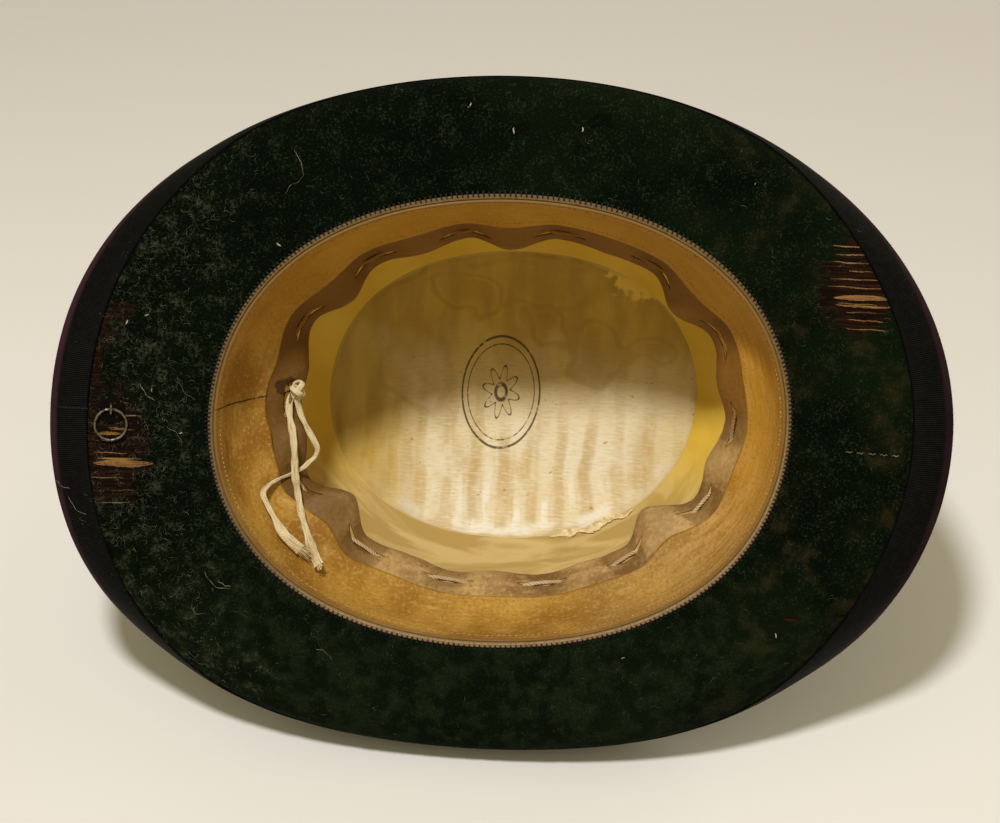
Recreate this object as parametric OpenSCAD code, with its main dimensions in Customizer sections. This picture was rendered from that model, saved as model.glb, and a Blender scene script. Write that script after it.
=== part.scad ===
// Bowler hat, crown up. +X is the front, +Y is the wearer's left, z = 0 is the table
// under the lowest part of the brim.

/* [Felt hood] */
// Length of the opening in the felt, front to back
opening_len = 200; // [186:1:214]
// Width of the opening in the felt
opening_w = 158; // [146:1:170]
// Fullness of the opening's oval between its ends and its sides, as a share of its size
oval_full = 0.028; // [0:0.002:0.04]
// How much fuller it is at the back left and front right than at the other two corners
oval_lean = 0.017; // [0:0.001:0.024]
// Rise of the opening at the sides over its front and back
opening_rise = 4.5; // [0:0.5:7]
// Thickness of the stiffened felt
felt_t = 2.4; // [1.8:0.1:3]
// Height inside the crown, from the front of the opening to the top
crown_depth = 119; // [108:1:130]
// Squareness of the crown, where 2 is an ellipse
crown_round = 2.85; // [2.5:0.05:3.2]

/* [Brim] */
// Reach of the brim past the opening at the front and back
reach_end = 51; // [48:0.5:58]
// Reach of the brim past the opening at the sides, with its curl
reach_side = 39; // [36:0.5:44]
// Fullness of the brim between its ends and its sides, as a share of its reach
corner_full = 0.055; // [0:0.005:0.16]
// How much fuller it is at the back left than at the front right
corner_lean = 0.045; // [0:0.005:0.07]
// Slope of the brim down from the opening at the front and back, in degrees
brim_dip = 15; // [9:0.5:17]
// Radius of the turned-up edge at the front and back
turn_r_end = 28; // [24:1:32]
// Radius of the curl at the sides
curl_r_side = 13; // [11:0.5:15]
// Final slope of the edge at the front and back, in degrees
edge_angle_end = 15; // [10:1:20]
// Final slope of the edge at the sides, where 90 stands straight up
edge_angle_side = 145; // [120:1:150]
// Thickness of the cloth under the brim
cloth_t = 0.6; // [0.4:0.1:1]

/* [Ribbons] */
// Thickness of the grosgrain ribbon
ribbon_t = 0.5; // [0.3:0.1:0.8]
// Width of the edge binding on each face of the brim
binding_w = 12.5; // [9:0.5:14]
// Fullness of the binding's fold past the edge of the felt
fold_w = 1.1; // [0.8:0.1:1.6]
// Width of the ribbon round the crown
band_w = 38; // [30:1:46]
// Length of the bow from loop to loop
bow_len = 64; // [54:1:72]
// Fullness of each loop of the bow
loop_full = 2.6; // [1.5:0.1:4]
// Width of the wrap at the middle of the bow
wrap_w = 13; // [9:0.5:16]

/* [Sweatband] */
// Thickness of the sweatband leather
leather_t = 1; // [0.7:0.1:1.4]
// Depth of the sweatband leather from the opening
leather_depth = 32; // [29:0.5:34]
// Thickness of the lacing strip
strip_t = 0.7; // [0.5:0.1:1]
// Depth of the strip's free edge from the opening
strip_depth = 43; // [42:0.5:46]
// Overlap of the strip behind the leather
strip_lap = 4; // [3:0.5:6]
// How far the drawstring gathers the free edge inward at the front and back
gather_end = 19; // [15:0.5:21]
// How far it gathers the free edge inward at the sides
gather_side = 13.5; // [11:0.5:15]
// Height of the waves that the gathering leaves in the strip
wave = 2.2; // [1.9:0.1:2.6]
// Number of slits in the strip
slits = 14; // [12:2:16]
// Width of each slit
slit_w = 2.6; // [2.4:0.1:3]
// Diameter of the reed in the piping
reed_d = 1.4; // [1:0.1:1.8]
// Thickness of the tape round the reed
tape_t = 0.35; // [0.25:0.05:0.5]
// Width of the tape that stands up between felt and leather
tape_w = 7; // [5:0.5:9]
// Number of whip stitches over the reed
whip_stitches = 112; // [84:4:140]

/* [Drawstring] */
// Thickness of the drawstring
string_d = 2; // [1.6:0.1:2.2]
// Width of its loose tails
tail_d = 2.4; // [2:0.1:2.8]
// Size of the knot, from its centre to the middle of its outer turns
knot_r = 3.4; // [3:0.1:4]

/* [Lining] */
// Thickness of the satin
lining_t = 0.4; // [0.2:0.05:0.6]
// Depth at which the side lining starts, behind the sweatband
lining_start = 15; // [10:1:24]
// Depth of the seam between the side lining and the tip
tip_seam = 99; // [92:1:104]

/* [Guard ring] */
// Distance of the guard ring's eye from the opening, along the brim
guard_reach = 32.5; // [28:0.5:33]
// Outer diameter of the ring
ring_d = 11.5; // [9:0.5:13]
// Thickness of the wire
wire_d = 0.9; // [0.7:0.1:1]
// Inner radius of the eye
eye_r = 1.35; // [1.2:0.05:1.5]
// Diameter of the washer under the eye
washer_d = 9.5; // [8:0.5:11]
// Thickness of the washer
washer_t = 0.6; // [0.4:0.1:0.8]
// Length of each clinched leg on top of the brim
clinch_len = 4; // [3:0.5:5]
// Gap between the ends of the ring's wire, in degrees
ring_gap = 4; // [2:1:6]

/* [Hidden] */

// Facets round the felt, the ribbons and the lining
around = 56;
// Facets round the sweatband, eight to each slit
band_around = slits * 8;
// Steps along the brim to the binding, and across the binding
brim_steps = 7;
binding_steps = 4;
// Steps up the lining and the rest of the crown
crown_steps = 4;

half_len = opening_len / 2;
half_w = opening_w / 2;
thread_d = 0.4;

// Height of the front of the opening over the table: the slope and the turn at the
// front, with the cloth, the ribbon and the seam's thread under them
front_z = flat_len(0) * sin(brim_dip) + turn_r_end * (1 - cos(brim_dip))
    + cloth_t + ribbon_t + thread_d / 2;
crown_top = front_z + crown_depth;

stitch_len = 1.6;
// Length of a whip stitch, and its place round the piping from the side
whip_len = 1.2;
whip_angle = 70;
// Depth of the stitches that hold the leather to the tape
band_stitch_depth = 5;
// Inset of the leather's outer face at the opening: past the piping
leather_inset = reed_d + 2 * tape_t + 0.3;
// Middle of the slits, from the strip's free edge
slit_from_edge = 5.5;
slit_depth = strip_depth - slit_from_edge;
// The slit that both ends of the drawstring come out of, at the back
knot_angle = 180;
// Points of the drawstring's tails, from the knot down over the sweatband
knot_pos = [-76, -5, 49];
long_points = [
    [-78, 0, 48.5], [-77.5, 5, 47.5], [-76, 11.5, 46.5], [-75, 18.5, 45.5], [-74.5, 25.5, 45],
    [-73, 33, 44], [-71, 40, 41.5], [-68, 46.5, 38], [-65.5, 51.5, 35], [-62.5, 56, 31]
];
short_points = [
    [-75, 0, 49], [-73.5, 5, 49.5], [-71, 10, 50], [-69, 13.5, 50.5], [-67.5, 17, 51],
    [-68.5, 20, 51], [-70.5, 22, 50], [-72.5, 24, 49], [-76, 26, 47.5], [-80, 27.5, 43],
    [-83, 29.5, 37.5], [-84, 32, 34.5], [-81, 37.5, 33.5], [-76, 45, 32], [-73, 48, 32],
    [-69.5, 51, 32.5]
];

function mix(a, b, k) = a + (b - a) * k;
function steps(a, b, n) = [for (i = [0 : n]) mix(a, b, i / n)];
function turns(n) = [for (i = [0 : n - 1]) i * 360 / n];
function back_to_front(list) = [for (i = [len(list) - 1 : -1 : 0]) list[i]];

// ---- the brim's surface ----
// The section of the brim at angle t runs out along a flat and then round an arc.
// Off is the height over the felt's lower face.
function end_share(t) = pow(cos(t), 2);
function dip(t) = brim_dip * end_share(t);
function turn_r(t) = mix(curl_r_side, turn_r_end, end_share(t));
function edge_angle(t) = mix(edge_angle_side, edge_angle_end, end_share(t));
function fullness(t) = 1 + pow(sin(2 * t), 2) * (corner_full + corner_lean * (sin(t) - cos(t)));
function reach(t) = fullness(t) * [reach_end * cos(t), reach_side * sin(t), 0];
function turn_reach(t) = turn_r(t) * (sin(min(edge_angle(t), 90)) + sin(dip(t)));
function flat_len(t) = (norm(reach(t)) - turn_reach(t)) / cos(dip(t));
function brim_len(t) = flat_len(t) + turn_r(t) * (edge_angle(t) + dip(t)) * PI / 180;
function opening_z(t) = front_z + opening_rise * (1 - end_share(t));
function brim_pt(t, s, off) =
    let (
        flat = min(s, flat_len(t)),
        turned = (s - flat) / turn_r(t) * 180 / PI - dip(t),
        slope = min(turned, edge_angle(t)),
        past = max(s - brim_len(t), 0),
        out = flat * cos(dip(t)) + turn_r(t) * (sin(slope) + sin(dip(t)))
            - off * sin(slope) + past * cos(slope),
        up = -flat * sin(dip(t)) + turn_r(t) * (cos(dip(t)) - cos(slope))
            + off * cos(slope) + past * sin(slope)
    )
    band_pt(t, 0, 0) + reach(t) / norm(reach(t)) * out + [0, 0, up];

// Places along the brim: opening to binding, and binding to edge
function inner_places(t) = steps(0, brim_len(t) - binding_w, brim_steps);
function edge_places(t) = steps(brim_len(t) - binding_w, brim_len(t), binding_steps);
function brim_places(t) = [
    for (s = inner_places(t)) s,
    for (i = [1 : binding_steps]) edge_places(t)[i]
];
function brim_row(t, places, off) = [for (s = places) brim_pt(t, s, off)];

// ---- the crown's surface ----
// At w = 0 it stands on its base, and at w = 90 it is the top. Off is the distance
// out from the felt's inner face.
function crown_w(rise) = asin(pow(rise / crown_depth, crown_round / 2));
function crown_pt(t, w, off, base) =
    let (
        wide = pow(cos(w), 2 / crown_round) * oval(t),
        high = pow(sin(w), 2 / crown_round)
    )
    [
        (half_len + off) * cos(t) * wide,
        (half_w + off) * sin(t) * wide,
        base + (crown_top + off - base) * high
    ];
function crown_row(t, places, off, base) = [for (w = places) crown_pt(t, w, off, base)];
function crown_foot(t) = opening_z(t) + felt_t * (1 / cos(dip(t)) - tan(dip(t)));

lining_w = crown_w(lining_start);
seam_w = crown_w(tip_seam);
ribbon_top_w = crown_w(band_w);
side_places = steps(lining_w, seam_w, crown_steps);
tip_places = [for (i = [0 : crown_steps - 1]) mix(seam_w, 90, i / crown_steps)];
band_places = steps(0, ribbon_top_w, 2);
outer_places = steps(ribbon_top_w, 90, 8);

// ---- the sweatband's surface ----
// The oval is a little fuller than an ellipse between its ends and its sides
function oval(t) = 1 + oval_full * pow(sin(2 * t), 2) - oval_lean * sin(2 * t);
// A point at an inset from the opening and a depth into the crown
function band_pt(t, inset, depth) = [
    (half_len - inset) * cos(t) * oval(t),
    (half_w - inset) * sin(t) * oval(t),
    opening_z(t) + depth
];
function gather(t) = mix(gather_side, gather_end, end_share(t));
function lean(t, depth) = leather_inset + gather(t) * pow(max(depth, 0) / strip_depth, 2.2);
// The strip is pushed out at each slit and in between them
function ripple(t, depth) =
    wave * cos(slits * t) * max(depth - leather_depth, 0) / (slit_depth - leather_depth);
function strip_inset(t, depth) = lean(t, depth) - ripple(t, depth);

// ---- solids from rows of points ----
// Two triangles for a cell. It is split along its shorter and lower diagonal, whichever
// way round its corners are given, so that layers that share a surface share its facets.
function diagonal(p, a, b) = norm(p[a] - p[b]) + 0.01 * (p[a].z + p[b].z);
function split(p, a, b, c, d) = diagonal(p, a, c) <= diagonal(p, b, d)
    ? [[a, b, c], [a, c, d]]
    : [[a, b, d], [b, c, d]];
function quad(p, a, b, c, d, turn) = turn ? split(p, d, c, b, a) : split(p, a, b, c, d);

// A solid ring: each section is a closed loop of points
module ring_solid(sections, turn = false) {
    n = len(sections);
    m = len(sections[0]);
    p = [for (s = sections) each s];
    polyhedron(
        points = p,
        faces = [
            for (i = [0 : n - 1], j = [0 : m - 1])
            let (i2 = (i + 1) % n, j2 = (j + 1) % m)
            each quad(p, i * m + j, i * m + j2, i2 * m + j2, i2 * m + j, turn)
        ]
    );
}

// A dome-like shell: each section runs from one pole to the other
module shell_solid(first, sections, last, turn = false) {
    n = len(sections);
    m = len(sections[0]);
    p = concat([for (s = sections) each s], [first, last]);
    polyhedron(
        points = p,
        faces = [
            for (i = [0 : n - 1])
            let (i2 = (i + 1) % n)
            each concat(
                [
                    for (j = [0 : m - 2])
                    each quad(p, i * m + j, i * m + j + 1, i2 * m + j + 1, i2 * m + j, turn)
                ],
                turn
                    ? [[i2 * m, i * m, n * m], [i * m + m - 1, i2 * m + m - 1, n * m + 1]]
                    : [[i * m, i2 * m, n * m], [i2 * m + m - 1, i * m + m - 1, n * m + 1]]
            )
        ]
    );
}

// A sheet with thickness from two grids of points. Cut lists the cells left open, as
// [column, row], and wrap joins the last column to the first.
module sheet_solid(front, back, cut = [], wrap = false) {
    n = len(front);
    m = len(front[0]);
    columns = wrap ? n : n - 1;
    solid = [
        for (i = [0 : columns - 1])
        [for (j = [0 : m - 2]) len([for (c = cut) if (c == [i, j]) c]) == 0]
    ];
    function kept(i, j) = j >= 0 && j < m - 1 && (wrap || (i >= 0 && i < columns))
        && solid[(i + columns) % columns][j];
    function f(i, j) = (i % n) * m + j;
    function b(i, j) = n * m + f(i, j);
    p = concat([for (s = front) each s], [for (s = back) each s]);
    polyhedron(
        points = p,
        faces = [
            for (i = [0 : columns - 1], j = [0 : m - 2])
            if (kept(i, j))
            each concat(
                quad(p, f(i, j), f(i, j + 1), f(i + 1, j + 1), f(i + 1, j), false),
                quad(p, b(i, j), b(i, j + 1), b(i + 1, j + 1), b(i + 1, j), true),
                kept(i - 1, j) ? [] : quad(p, f(i, j), b(i, j), b(i, j + 1), f(i, j + 1), false),
                kept(i + 1, j) ? [] : quad(p, f(i + 1, j), b(i + 1, j), b(i + 1, j + 1), f(i + 1, j + 1), true),
                kept(i, j - 1) ? [] : quad(p, f(i, j), b(i, j), b(i + 1, j), f(i + 1, j), true),
                kept(i, j + 1) ? [] : quad(p, f(i, j + 1), b(i, j + 1), b(i + 1, j + 1), f(i + 1, j + 1), false)
            )
        ]
    );
}

// A tube of the given sides along a route. Ref is never along the route.
function mid_way(p, i, k) =
    let (a = p[max(i - 1, 0)], b = p[i], c = p[i + 1], d = p[min(i + 2, len(p) - 1)])
    b + k * (c - a) / 2 + k * k * (2 * a - 5 * b + 4 * c - d) / 2
        + k * k * k * (3 * b - a - 3 * c + d) / 2;
function smooth(p) = [
    for (i = [0 : len(p) - 2], k = [0, 0.5]) mid_way(p, i, k),
    p[len(p) - 1]
];
module tube(route, d, ref, closed = false, sides = 8) {
    n = len(route);
    last = n - 1;
    function next(i) = closed ? (i + 1) % n : min(i + 1, last);
    function before(i) = closed ? (i + last) % n : max(i - 1, 0);
    rings = [
        for (i = [0 : last])
        let (
            along = route[next(i)] - route[before(i)],
            side = cross(along, ref) / norm(cross(along, ref)),
            up = cross(side, along) / norm(along)
        )
        [for (a = turns(sides)) route[i] + (side * cos(a) + up * sin(a)) * d / 2]
    ];
    if (closed) ring_solid(rings);
    else shell_solid(route[0], rings_along(rings, sides), route[last]);
}
// The rings of an open tube turned into sections that run from end to end
function rings_along(rings, sides) = [for (a = [0 : sides - 1]) [for (r = rings) r[a]]];

// A stitch of thread, centred, lying along x
module stitch(len, d = thread_d) {
    translate([-len / 2, 0, 0]) rotate([0, 90, 0]) cylinder(h = len, d = d, $fn = 16);
}

// The way a row at angle t runs round the head, and its direction in plan
function along_angle(t) =
    let (way = band_pt(t + 1, 0, 0) - band_pt(t - 1, 0, 0))
    atan2(way.y, way.x);

// ---- the pieces ----
// One stiff felt hood: the crown and the brim, with its sides rolled up
module felt_body() {
    color([0.13, 0.08, 0.12])
    shell_solid(
        [0, 0, crown_top],
        [
            for (t = turns(around))
            concat(
                crown_row(t, back_to_front(tip_places), 0, opening_z(t)),
                crown_row(t, [for (i = [crown_steps - 1 : -1 : 0]) side_places[i]], 0, opening_z(t)),
                brim_row(t, brim_places(t), 0),
                brim_row(t, [for (i = [brim_steps + binding_steps : -1 : 1]) brim_places(t)[i]], felt_t),
                crown_row(t, [for (i = [0, 1]) band_places[i]], felt_t, crown_foot(t)),
                crown_row(t, [for (i = [0 : 7]) outer_places[i]], felt_t, crown_foot(t))
            )
        ],
        [0, 0, crown_top + felt_t]
    );
}

// The cloth under the brim, from the opening to the edge
module underbrim_cloth() {
    color([0.07, 0.12, 0.08])
    ring_solid([
        for (t = turns(around))
        concat(
            brim_row(t, brim_places(t), 0),
            brim_row(t, back_to_front(brim_places(t)), -cloth_t)
        )
    ], turn = true);
}

// Grosgrain folded over the edge, as wide above the brim as under it
module brim_binding() {
    under = -cloth_t - ribbon_t;
    over = felt_t + ribbon_t;
    color([0.06, 0.05, 0.07])
    ring_solid([
        for (t = turns(around))
        let (edge = brim_len(t))
        concat(
            brim_row(t, edge_places(t), -cloth_t),
            brim_row(t, [edge], 0),
            brim_row(t, back_to_front(edge_places(t)), felt_t),
            brim_row(t, edge_places(t), over),
            [
                brim_pt(t, edge + fold_w * 0.7, over - ribbon_t),
                brim_pt(t, edge + fold_w, felt_t / 2),
                brim_pt(t, edge + fold_w * 0.7, under + ribbon_t)
            ],
            brim_row(t, back_to_front(edge_places(t)), under)
        )
    ], turn = true);
}

// The stitches that close the binding's butt joint at the back
module binding_seam() {
    count = 5;
    color([0.05, 0.04, 0.05])
    for (i = [1 : count])
    let (s = brim_len(180) - binding_w * i / (count + 1))
    translate(brim_pt(180, s, -cloth_t - ribbon_t))
    rotate([0, 0, 90])
    stitch(stitch_len * 1.5);
}

// The ribbon round the foot of the crown
module crown_ribbon() {
    color([0.07, 0.06, 0.08])
    ring_solid([
        for (t = turns(around))
        concat(
            crown_row(t, band_places, felt_t, crown_foot(t)),
            crown_row(t, back_to_front(band_places), felt_t + ribbon_t, crown_foot(t))
        )
    ]);
}

// Angle round the crown of a place along the bow, from its middle at the wearer's left
function bow_angle(x) = acos(x / (half_len + felt_t + ribbon_t));
bow_margin = crown_w(2);
bow_rows = steps(bow_margin, crown_w(band_w - 2), 4);
wrap_steps = 2;
loop_steps = 6;
bow_places = concat(
    steps(-bow_len / 2, -wrap_w / 2, loop_steps),
    [for (i = [1 : wrap_steps - 1]) mix(-wrap_w / 2, wrap_w / 2, i / wrap_steps)],
    steps(wrap_w / 2, bow_len / 2, loop_steps)
);
bow_base = felt_t + ribbon_t;
// Fullness of the bow at a place along it: thin under the wrap and full in each loop
function bow_full(x) =
    let (k = max(abs(x) - wrap_w / 2, 0) / (bow_len - wrap_w) * 2)
    2 * ribbon_t + loop_full * sin(180 * pow(k, 0.8));
function bow_face(places, off) = [
    for (x = places)
    let (t = bow_angle(x))
    crown_row(t, bow_rows, bow_base + off, crown_foot(t))
];

// A flat bow: one ribbon folded into two loops
module bow_loops() {
    color([0.07, 0.06, 0.08])
    sheet_solid(
        [
            for (x = bow_places)
            let (t = bow_angle(x))
            crown_row(t, bow_rows, bow_base + bow_full(x), crown_foot(t))
        ],
        bow_face(bow_places, 0)
    );
}

// The ribbon wrapped over the middle of the bow
module bow_wrap() {
    places = steps(-wrap_w / 2, wrap_w / 2, wrap_steps);
    color([0.07, 0.06, 0.08])
    sheet_solid(bow_face(places, 3 * ribbon_t), bow_face(places, 2 * ribbon_t));
}

// The sweatband, which leans in as the drawstring gathers its deep edge
leather_rows = [
    0.3,
    band_stitch_depth,
    leather_depth / 3,
    leather_depth * 2 / 3,
    leather_depth - strip_lap,
    leather_depth
];
module sweatband_leather() {
    color([0.68, 0.49, 0.2])
    ring_solid([
        for (t = turns(band_around))
        concat(
            [for (d = leather_rows) band_pt(t, lean(t, d), d)],
            [for (d = back_to_front(leather_rows)) band_pt(t, lean(t, d) + leather_t, d)]
        )
    ]);
}

// The thread across the sweatband's butt joint at the back
module back_seam_thread() {
    count = 9;
    color([0.3, 0.2, 0.1])
    for (i = [1 : count])
    let (d = leather_depth * i / (count + 1))
    translate(band_pt(180, lean(180, d) + leather_t, d))
    rotate([0, 0, 90])
    stitch(stitch_len);
}

// The thin strip along the sweatband's deep edge, with a row of slits
strip_rows = [
    leather_depth - strip_lap,
    leather_depth,
    slit_depth - slit_w / 2,
    slit_depth + slit_w / 2,
    strip_depth
];
module lacing_strip() {
    slit_row = 2;
    function face(out) = [
        for (t = turns(band_around))
        [for (d = strip_rows) band_pt(t, strip_inset(t, d) - out, d)]
    ];
    color([0.5, 0.42, 0.3])
    sheet_solid(
        face(strip_t),
        face(0),
        cut = [for (i = [0 : slits - 1], k = [-2 : 1]) [(i * 8 + k + band_around) % band_around, slit_row]],
        wrap = true
    );
}

// The thread that joins the strip to the leather
module strip_seam_thread() {
    d = leather_depth - strip_lap / 2;
    color([0.55, 0.45, 0.3])
    for (t = turns(band_around))
    translate(band_pt(t, lean(t, d) + leather_t, d))
    rotate([0, 0, along_angle(t)])
    stitch(stitch_len);
}

// The reed in the piping, level with the cloth under the brim
reed_r = reed_d / 2;
reed_inset = reed_r + tape_t + 0.1;
reed_depth = reed_r + tape_t - cloth_t;
reed_angles = steps(120, 435, 7);
function reed_ring(t, r, angles) = [
    for (a = angles) band_pt(t, reed_inset + r * cos(a), reed_depth + r * sin(a))
];
module reed() {
    color([0.75, 0.65, 0.45])
    ring_solid([for (t = turns(around)) reed_ring(t, reed_r, reed_angles)]);
}

// The tape folded round the reed, with its edges standing up behind the leather
module reed_tape() {
    wrap = [for (i = [0 : 6]) reed_angles[i]];
    color([0.78, 0.62, 0.5])
    ring_solid([
        for (t = turns(around))
        concat(
            reed_ring(t, reed_r + tape_t, wrap),
            [
                band_pt(t, reed_inset + reed_r, tape_w),
                band_pt(t, reed_inset + reed_r - tape_t, tape_w)
            ],
            reed_ring(t, reed_r, back_to_front(wrap))
        )
    ]);
}

// Black whip stitches over the piping
module reed_stitches() {
    outer = reed_r + tape_t;
    color([0.08, 0.07, 0.07])
    for (t = turns(whip_stitches))
    translate(band_pt(t, reed_inset - outer * cos(whip_angle), reed_depth - outer * sin(whip_angle)))
    rotate([0, 0, along_angle(t) + 90])
    rotate([0, whip_angle - 90, 0])
    stitch(whip_len);
}

// The row of stitches that holds the leather to the tape
module band_stitches() {
    color([0.6, 0.45, 0.2])
    for (t = turns(band_around))
    translate(band_pt(t, lean(t, band_stitch_depth) + leather_t, band_stitch_depth))
    rotate([0, 0, along_angle(t)])
    stitch(stitch_len);
}

// The drawstring, behind the strip between the slits and bare in each slit
function string_inset(t) = lean(t, slit_depth) - strip_t / 2 - wave;
string_rings = 76;
string_clear = 4;
module drawstring() {
    color([0.85, 0.72, 0.65])
    tube(
        concat(
            [knot_pos + [-2, -1, 0]],
            [
                for (t = steps(knot_angle + string_clear, knot_angle + 360 - string_clear, string_rings))
                band_pt(t, string_inset(t), slit_depth)
            ],
            [knot_pos + [-2, 1, 0]]
        ),
        string_d, [0, 0, 1]
    );
}

// The knot in the drawstring's ends
module drawstring_knot() {
    turn_size = knot_r / 3;
    knot_depth = 1.3;
    pulled_tight = 0.65;
    color([0.88, 0.84, 0.74])
    tube(
        [
            for (a = turns(36))
            knot_pos + turn_size * [
                -knot_depth * sin(3 * a),
                sin(a) + 2 * sin(2 * a),
                cos(a) - 2 * cos(2 * a)
            ]
        ],
        string_d * pulled_tight, [1, 0, 0], closed = true
    );
}

// The drawstring's two loose tails
module tail_long() {
    color([0.9, 0.87, 0.78])
    tube(smooth(long_points), tail_d, [1, 0, 0]);
}
module tail_short() {
    color([0.9, 0.87, 0.78])
    tube(smooth(short_points), tail_d, [1, 0, 0]);
}

// The satin round the inside of the crown
module side_lining() {
    color([0.72, 0.58, 0.22])
    ring_solid([
        for (t = turns(around))
        concat(
            crown_row(t, side_places, 0, opening_z(t)),
            crown_row(t, back_to_front(side_places), -lining_t, opening_z(t))
        )
    ], turn = true);
}

// The oval of satin across the top of the crown
module tip_lining() {
    color([0.86, 0.8, 0.62])
    shell_solid(
        [0, 0, crown_top],
        [
            for (t = turns(around))
            concat(
                crown_row(t, back_to_front(tip_places), 0, opening_z(t)),
                crown_row(t, tip_places, -lining_t, opening_z(t))
            )
        ],
        [0, 0, crown_top - lining_t],
        turn = true
    );
}

// The guard ring's own frame: on the cloth at the back, with -z away from the brim and
// +x toward the opening
module at_guard() {
    translate(brim_pt(180, guard_reach, -cloth_t)) rotate([0, -brim_dip, 0]) children();
}
wire_r = wire_d / 2;
leg_y = eye_r + wire_r;
// The ring hangs in the middle of the eye's hole
ring_drop = washer_t + eye_r / 2;
leg_len = cloth_t + felt_t + washer_t + wire_r;

// The washer that the eye's legs pass through
module guard_washer() {
    leg_hole = wire_d + 0.1;
    color([0.05, 0.05, 0.05])
    at_guard()
    difference() {
        translate([0, 0, -washer_t]) cylinder(h = washer_t, d = washer_d, $fn = 64);
        for (y = [-leg_y, leg_y])
        translate([0, y, -washer_t - 1]) cylinder(h = washer_t + 2, d = leg_hole, $fn = 32);
    }
}

// The eye: a bent wire whose legs go through the brim and are clinched on top of it
module guard_eye() {
    color([0.5, 0.47, 0.4])
    at_guard() {
        translate([0, 0, -washer_t])
        rotate([90, 0, 90])
        rotate([0, 0, 180])
        rotate_extrude(angle = 180, $fn = 64) translate([leg_y, 0]) circle(r = wire_r, $fn = 32);
        for (side = [-1, 1])
        translate([0, side * leg_y, -washer_t]) {
            cylinder(h = leg_len, r = wire_r, $fn = 32);
            translate([0, 0, leg_len]) sphere(r = wire_r, $fn = 32);
            translate([0, 0, leg_len])
            rotate([-side * 90, 0, 0]) cylinder(h = clinch_len, r = wire_r, $fn = 32);
        }
    }
}

// The split ring that hangs in the eye
module guard_ring() {
    ring_r = ring_d / 2 - wire_r;
    color([0.55, 0.5, 0.42])
    at_guard()
    translate([0, ring_r, -ring_drop])
    rotate([0, 0, 90 + ring_gap / 2])
    rotate_extrude(angle = 360 - ring_gap, $fn = 96) translate([ring_r, 0]) circle(r = wire_r, $fn = 32);
}

felt_body();
underbrim_cloth();
brim_binding();
binding_seam();
crown_ribbon();
bow_loops();
bow_wrap();
sweatband_leather();
back_seam_thread();
lacing_strip();
strip_seam_thread();
reed();
reed_tape();
reed_stitches();
band_stitches();
drawstring();
drawstring_knot();
tail_long();
tail_short();
side_lining();
tip_lining();
guard_washer();
guard_eye();
guard_ring();
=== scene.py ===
# A bowler hat with a curled brim, seen from under the brim.
# It lies on its left side on a pale table. +X is its front, +Y the wearer's left, +Z the crown.
import math
import random

import bmesh
import bpy
import numpy as np
from mathutils import Matrix, Vector, noise
from mathutils.bvhtree import BVHTree


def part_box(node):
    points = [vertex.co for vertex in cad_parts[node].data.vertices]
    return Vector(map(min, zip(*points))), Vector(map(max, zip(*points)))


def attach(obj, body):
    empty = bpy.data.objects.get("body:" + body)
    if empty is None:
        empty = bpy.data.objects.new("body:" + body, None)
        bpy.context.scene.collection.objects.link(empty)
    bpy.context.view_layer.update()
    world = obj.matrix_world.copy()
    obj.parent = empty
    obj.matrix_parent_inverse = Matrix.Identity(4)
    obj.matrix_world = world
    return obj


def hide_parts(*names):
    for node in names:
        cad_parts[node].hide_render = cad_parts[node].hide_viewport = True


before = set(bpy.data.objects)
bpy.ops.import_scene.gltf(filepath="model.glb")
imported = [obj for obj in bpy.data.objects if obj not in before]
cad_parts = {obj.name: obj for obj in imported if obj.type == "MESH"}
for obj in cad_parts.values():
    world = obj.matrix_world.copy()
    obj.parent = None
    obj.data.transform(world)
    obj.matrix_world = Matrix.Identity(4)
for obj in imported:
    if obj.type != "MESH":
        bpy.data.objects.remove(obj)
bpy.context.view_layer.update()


# ---- View ----
# The camera looks up into the crown from under the brim, a little from the wearer's right,
# with the front of the hat to the right.
opening_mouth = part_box("reed_tape")[0].z
view_from = Vector((0.0342, -0.0749, -0.5944))
view_at = Vector((0.0008, -0.0047, opening_mouth + 0.002))
view_roll = math.radians(2.96)


def brought_in(name, data):
    """A new object in the scene."""
    made = bpy.data.objects.new(name, data)
    bpy.context.scene.collection.objects.link(made)
    return made


camera = brought_in("camera", bpy.data.cameras.new("camera"))
bpy.context.scene.camera = camera
camera.data.sensor_width = 36
camera.data.lens = 64.5
camera.data.clip_start = 0.01
camera.data.clip_end = 20
backward = (view_from - view_at).normalized()
sideways = (Vector((1, 0, 0)) - backward * backward.x).normalized()
upright = Matrix((sideways, backward.cross(sideways), backward)).transposed()
camera.matrix_world = (
    Matrix.Translation(view_from) @ Matrix.Rotation(view_roll, 4, backward) @ upright.to_4x4()
)


# ---- Felt hood ----
# One hood of stiffened fur felt, blocked into a round crown and a brim whose sides are
# rolled up and over. The outside is brushed nearly black and has faded a little brown.
felt_thickness = 0.0024
crown_depth = 0.119
crown_squareness = 2.85
brim_dip = math.radians(15)
opening_rise = 0.0045
end_turn_radius = 0.028
side_curl_radius = 0.013
end_edge_slope = math.radians(15)
side_edge_slope = math.radians(145)
corner_fullness = 0.055
corner_lean = 0.045
half_length = 0.100
half_width = 0.079
oval_fullness = 0.028
oval_lean = 0.017
end_reach = 0.051
side_reach = 0.039
fillet_reach = 0.006
fillet_height = 0.004
almost_up = math.pi / 2 * 0.9999
hood_columns = 320
crown_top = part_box("felt_body")[1].z - felt_thickness
front_height = crown_top - crown_depth
felt_colour = (0.012, 0.0095, 0.011, 1)
felt_faded = (0.03, 0.021, 0.021, 1)


def opening_height(t):
    """Height of the opening at angle t from the front."""
    return front_height + opening_rise * np.sin(t) ** 2


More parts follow.
